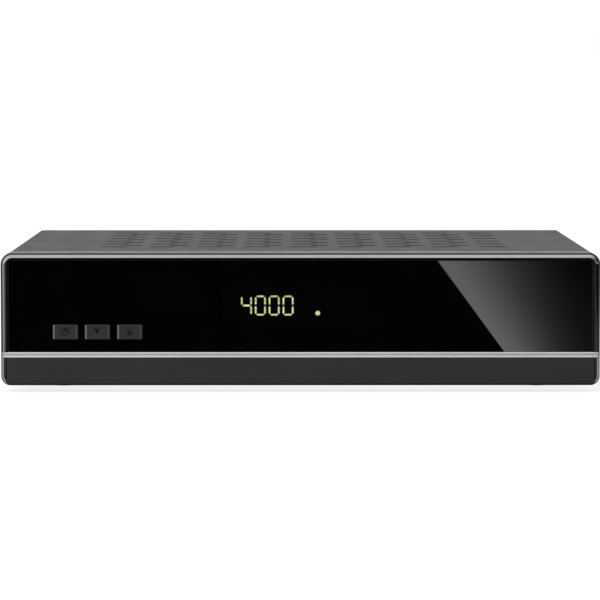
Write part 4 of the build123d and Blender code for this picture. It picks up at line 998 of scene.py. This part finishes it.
def makeAerialSleeve(nodeName, pieceName):
    # A sleeve about Y. Its outside follows a zigzag of one pitch that also turns once with the angle,
    # which makes a screw thread, and it tapers off at the lead-in and where the nut hides it.
    low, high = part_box(nodeName)
    centre = np.array([(low[0] + high[0]) / 2, 0, (low[2] + high[2]) / 2])
    start, end, threadStart = low[1] / mm, high[1] / mm, aerialThread["startMm"]
    pitch, depth, leadInMm = aerialThread["pitchMm"], aerialThread["depthMm"], aerialThread["leadInMm"]
    turns = np.arange(threadStart, end - 0.02, pitch / 8)
    along = np.concatenate([[start, threadStart], turns, [end]])[:, None]
    angle = np.linspace(0, 2 * math.pi, aerialThread["around"], endpoint=False)[None, :]
    phase = (along / pitch - angle / (2 * math.pi)) % 1
    groove = depth * (1 - np.abs(2 * phase - 1))
    fadeFrom, fadeTo = aerialThread["fadeMm"]
    fade = smoothStep(threadStart + fadeFrom, threadStart + fadeTo, along)
    leadIn = np.clip((along - end + leadInMm) / leadInMm, 0, 1)
    outside = aerialThread["crestMm"] - groove * fade * (1 - leadIn) - depth * leadIn
    outside[:2] = aerialThread["neckMm"]
    radius = np.concatenate([outside, np.full((2, angle.size), aerialThread["boreMm"])])
    y = np.concatenate([along, [[end], [start]]]) * np.ones(angle.shape)
    points = np.stack([radius * np.cos(angle), y, radius * np.sin(angle)], axis=-1) * mm + centre
    piece = gridMesh(pieceName, points, ring=True, sharpAngle=50)
    dressPiece(piece, nickelPlate, "housing", "nickel_plate", nodeName)


makeAerialSleeve("lnb_in_connector", "aerialSleeveIn")
makeAerialSleeve("lnb_out_connector", "aerialSleeveOut")
print("aerial connectors threaded")

springContact = {
    "count": 8, "pitchMm": 1.02, "radiusMm": 0.2, "fromMouthMm": 2.4, "lengthMm": 8.2,
    "underRoofMm": 2.05, "dropMm": 2.9, "dropPower": 1.2, "hookMm": 1.1, "hookFrom": 0.8, "samples": 14,
    "around": 8,
}
goldContact = finish("goldContact", {
    "color": (0.78, 0.52, 0.2), "vary": 0.08, "roughness": (0.18, 0.28), "metallic": 1, "grainMm": 0.4,
    "grainDepthMm": 0.003, "bump": 0.2, "driftMm": 4,
})


def tubeAlong(name, path, radius, around):
    # A round section carried along a path that lies in one plane across X.
    tangent = np.gradient(path, axis=0)
    tangent /= np.linalg.norm(tangent, axis=1)[:, None]
    sideways = np.tile(np.array([1.0, 0, 0]), (len(path), 1))
    upward = np.cross(sideways, tangent)
    angle = np.linspace(0, 2 * math.pi, around, endpoint=False)[None, :, None]
    points = path[:, None] + radius * (np.cos(angle) * sideways[:, None] + np.sin(angle) * upward[:, None])
    return gridMesh(name, points, sharpAngle=60)


def makeSpringContacts():
    # Sprung wires that slant down from the socket's roof towards its back and bend up at their ends.
    wire = springContact
    low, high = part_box("lan_socket")
    centreX, mouth = (low[0] + high[0]) / 2, high[1]
    share = np.linspace(0, 1, wire["samples"])
    hook = wire["hookMm"] * smoothStep(wire["hookFrom"], 1, share)
    y = mouth - (wire["fromMouthMm"] + wire["lengthMm"] * share) * mm
    z = high[2] - (wire["underRoofMm"] + wire["dropMm"] * share ** wire["dropPower"] - hook) * mm
    parts = []
    for number in range(wire["count"]):
        x = centreX + (number - (wire["count"] - 1) / 2) * wire["pitchMm"] * mm
        path = np.stack([np.full(share.size, x), y, z], axis=-1)
        parts.append(tubeAlong("contact", path, wire["radiusMm"] * mm, wire["around"]))
    piece = joinPieces("networkContacts", parts)
    dressPiece(piece, goldContact, "housing", "nickel_plate")


makeSpringContacts()
print("network contacts made")

rockerFace = {
    "pivot": (-0.076, 0.0815, 0.026), "tiltDegrees": 11.0, "hollowMm": 4.6, "curveRadiusMm": 22.28,
    "markOffsetMm": 3.7, "ringRadiusMm": 1.25, "barHalfMm": 1.35, "strokeMm": 0.24, "raisedMm": 0.03,
}
markPaint = finish("markPaint", {
    "color": (0.75, 0.75, 0.73), "vary": 0.08, "roughness": (0.45, 0.6), "grainMm": 0.15,
    "grainDepthMm": 0.01,
})


def onRockerFace(across, upward, lift):
    # Places a point of the rocker's hollow face: the depth is that of a circle about an axis across it.
    tilt = math.radians(rockerFace["tiltDegrees"])
    radius = rockerFace["curveRadiusMm"]
    out = rockerFace["hollowMm"] + radius - np.sqrt(radius**2 - upward**2) + lift
    pivot = np.array(rockerFace["pivot"])
    x = pivot[0] + across * mm
    y = pivot[1] + (out * math.cos(tilt) - upward * math.sin(tilt)) * mm
    z = pivot[2] + (out * math.sin(tilt) + upward * math.cos(tilt)) * mm
    return np.stack([x, y, z], axis=-1)


def makeRockerMarks():
    # A ring at the off end and a bar at the on end, each a flat oval section carried along its line.
    section = np.linspace(0, 2 * math.pi, 8, endpoint=False)[None, :]
    wide, raised = rockerFace["strokeMm"] * np.cos(section), rockerFace["raisedMm"] * np.sin(section)
    offset = rockerFace["markOffsetMm"]
    turn = np.linspace(0, 2 * math.pi, 48, endpoint=False)[:, None]
    radius = rockerFace["ringRadiusMm"] + wide
    ring = onRockerFace(radius * np.cos(turn), offset + radius * np.sin(turn), raised + 0 * turn)
    share = np.linspace(-1, 1, 12)[:, None]
    thin = np.sqrt(np.clip(1 - share**8, 0.02, 1))
    along = share * rockerFace["barHalfMm"] + 0 * section
    bar = onRockerFace(wide * thin, along - offset, raised * thin)
    piece = joinPieces("rockerMarks", [gridMesh("mark", ring, ring=True), gridMesh("mark", bar)])
    dressPiece(piece, markPaint, "rocker", "white_insulator")


makeRockerMarks()
print("rocker marks made")


# Inside the case

boardRuns = {
    "runs": {
        "Scale": 1.0, "Brick Width": 0.0092, "Row Height": 0.0023, "Mortar Size": 0.00035,
        "Mortar Smooth": 0.2,
    },
    "runOffset": 0.37,
    "pads": {"Scale": 260.0, "Randomness": 0.8},
    "padRadius": 0.17,
}


def boardPattern(traceColor, padColor):
    # Copper runs under the resist as a stepped grid, with tinned dots where pads come through.
    def pattern(tree, base, coords, x, y, z):
        bricks = addNode(tree, "ShaderNodeTexBrick", boardRuns["runs"], offset=boardRuns["runOffset"])
        tree.links.new(coords, bricks.inputs["Vector"])
        for key, shade in (("Color1", 0), ("Color2", 0), ("Mortar", 1)):
            bricks.inputs[key].default_value = (shade, shade, shade, 1)
        tone = mixColor(tree, bricks.outputs["Color"], base, traceColor)
        cells = addNode(tree, "ShaderNodeTexVoronoi", boardRuns["pads"], voronoi_dimensions="2D")
        tree.links.new(coords, cells.inputs["Vector"])
        pad = mathNode(tree, "LESS_THAN", cells.outputs["Distance"], boardRuns["padRadius"])
        return mixColor(tree, pad, tone, padColor)
    return pattern


# For each finish its look, its pattern and the nodes that wear it
insideFinishes = {
    "boardGreen": (
        {"color": (0.014, 0.085, 0.032), "roughness": (0.28, 0.4), "grainMm": 1.5, "grainDepthMm": 0.01},
        boardPattern((0.03, 0.17, 0.06), (0.55, 0.55, 0.5)), ("main_pcb",)),
    "boardBlack": (
        {"color": (0.006, 0.0065, 0.006), "roughness": (0.45, 0.6), "grainMm": 1.5, "grainDepthMm": 0.01},
        boardPattern((0.012, 0.013, 0.012), (0.05, 0.05, 0.045)), ("front_pcb",)),
    "boardBrown": (
        {"color": (0.30, 0.17, 0.065), "roughness": (0.45, 0.6), "grainMm": 0.8, "grainDepthMm": 0.02},
        boardPattern((0.36, 0.21, 0.09), (0.5, 0.5, 0.46)), ("supply_pcb",)),
    "chipEpoxy": (
        {"color": (0.013, 0.013, 0.014), "roughness": (0.5, 0.62), "grainMm": 0.2, "grainDepthMm": 0.02},
        None, ("decoder_chip", "memory_chips", "infrared_eye")),
    "displayBlack": (
        {"color": (0.0028, 0.0028, 0.0029), "roughness": (0.6, 0.75), "grainMm": 0.4, "grainDepthMm": 0.01,
         "specular": 0.12},
        None, ("display_module",)),
    "ribbonFilm": (
        {"color": (0.66, 0.65, 0.62), "roughness": (0.35, 0.45), "grainMm": 0.6, "grainDepthMm": 0.01},
        stripes("x", 1.25, 0.2, (0.42, 0.40, 0.36)), ("ribbon_cable",)),
    "capacitorSleeve": (  # cut away round the bare aluminium top of each can
        {"color": (0.018, 0.02, 0.05), "roughness": (0.22, 0.34), "grainMm": 0.8, "grainDepthMm": 0.01},
        bands("z", ((19.6, 20.4), (26.6, 27.4), (34.6, 36)), (0.6, 0.6, 0.6)),
        ("board_capacitors", "supply_capacitors")),
    "coilTape": (  # with fine bands where its turns overlap
        {"color": (0.60, 0.42, 0.045), "roughness": (0.2, 0.34), "grainMm": 1.2, "grainDepthMm": 0.02},
        stripes("z", 4.2, 0.86, (0.34, 0.22, 0.02)), ("transformer_coil",)),
    "ferriteCore": (
        {"color": (0.045, 0.045, 0.048), "roughness": (0.5, 0.65), "grainMm": 0.3, "grainDepthMm": 0.03},
        None, ("transformer_core", "line_choke")),
    "sinkAluminium": (
        {"color": (0.62, 0.63, 0.64), "roughness": (0.3, 0.44), "metallic": 1, "grainDepthMm": 0.01,
         "stretch": (1, 12, 12)},
        None, ("heat_sink", "supply_heat_sink")),
    "fuseGlass": (  # a pale tube with a nickel cap at both ends
        {"color": (0.62, 0.66, 0.66), "roughness": (0.06, 0.14), "grainMm": 1, "grainDepthMm": 0.003},
        bands("x", ((-120, -114.5), (-106.5, -101)), (0.5, 0.49, 0.46)), ("line_fuse",)),
    "wireSleeve": (  # blue and brown conductors by turns
        {"color": (0.02, 0.05, 0.22), "roughness": (0.35, 0.48), "grainDepthMm": 0.01},
        stripes("x", 17.2, 0, (0.14, 0.055, 0.02)), ("mains_wires", "supply_harness")),
    "innerNylon": (
        {"color": (0.02, 0.02, 0.021), "roughness": (0.4, 0.52), "grainMm": 0.3, "grainDepthMm": 0.015},
        None, ("card_reader", "plunger_power", "plunger_down", "plunger_up")),
}
for finishName, (look, pattern, wearers) in insideFinishes.items():
    dress(finish(finishName, look, pattern), *wearers)
print("inside finishes ready")
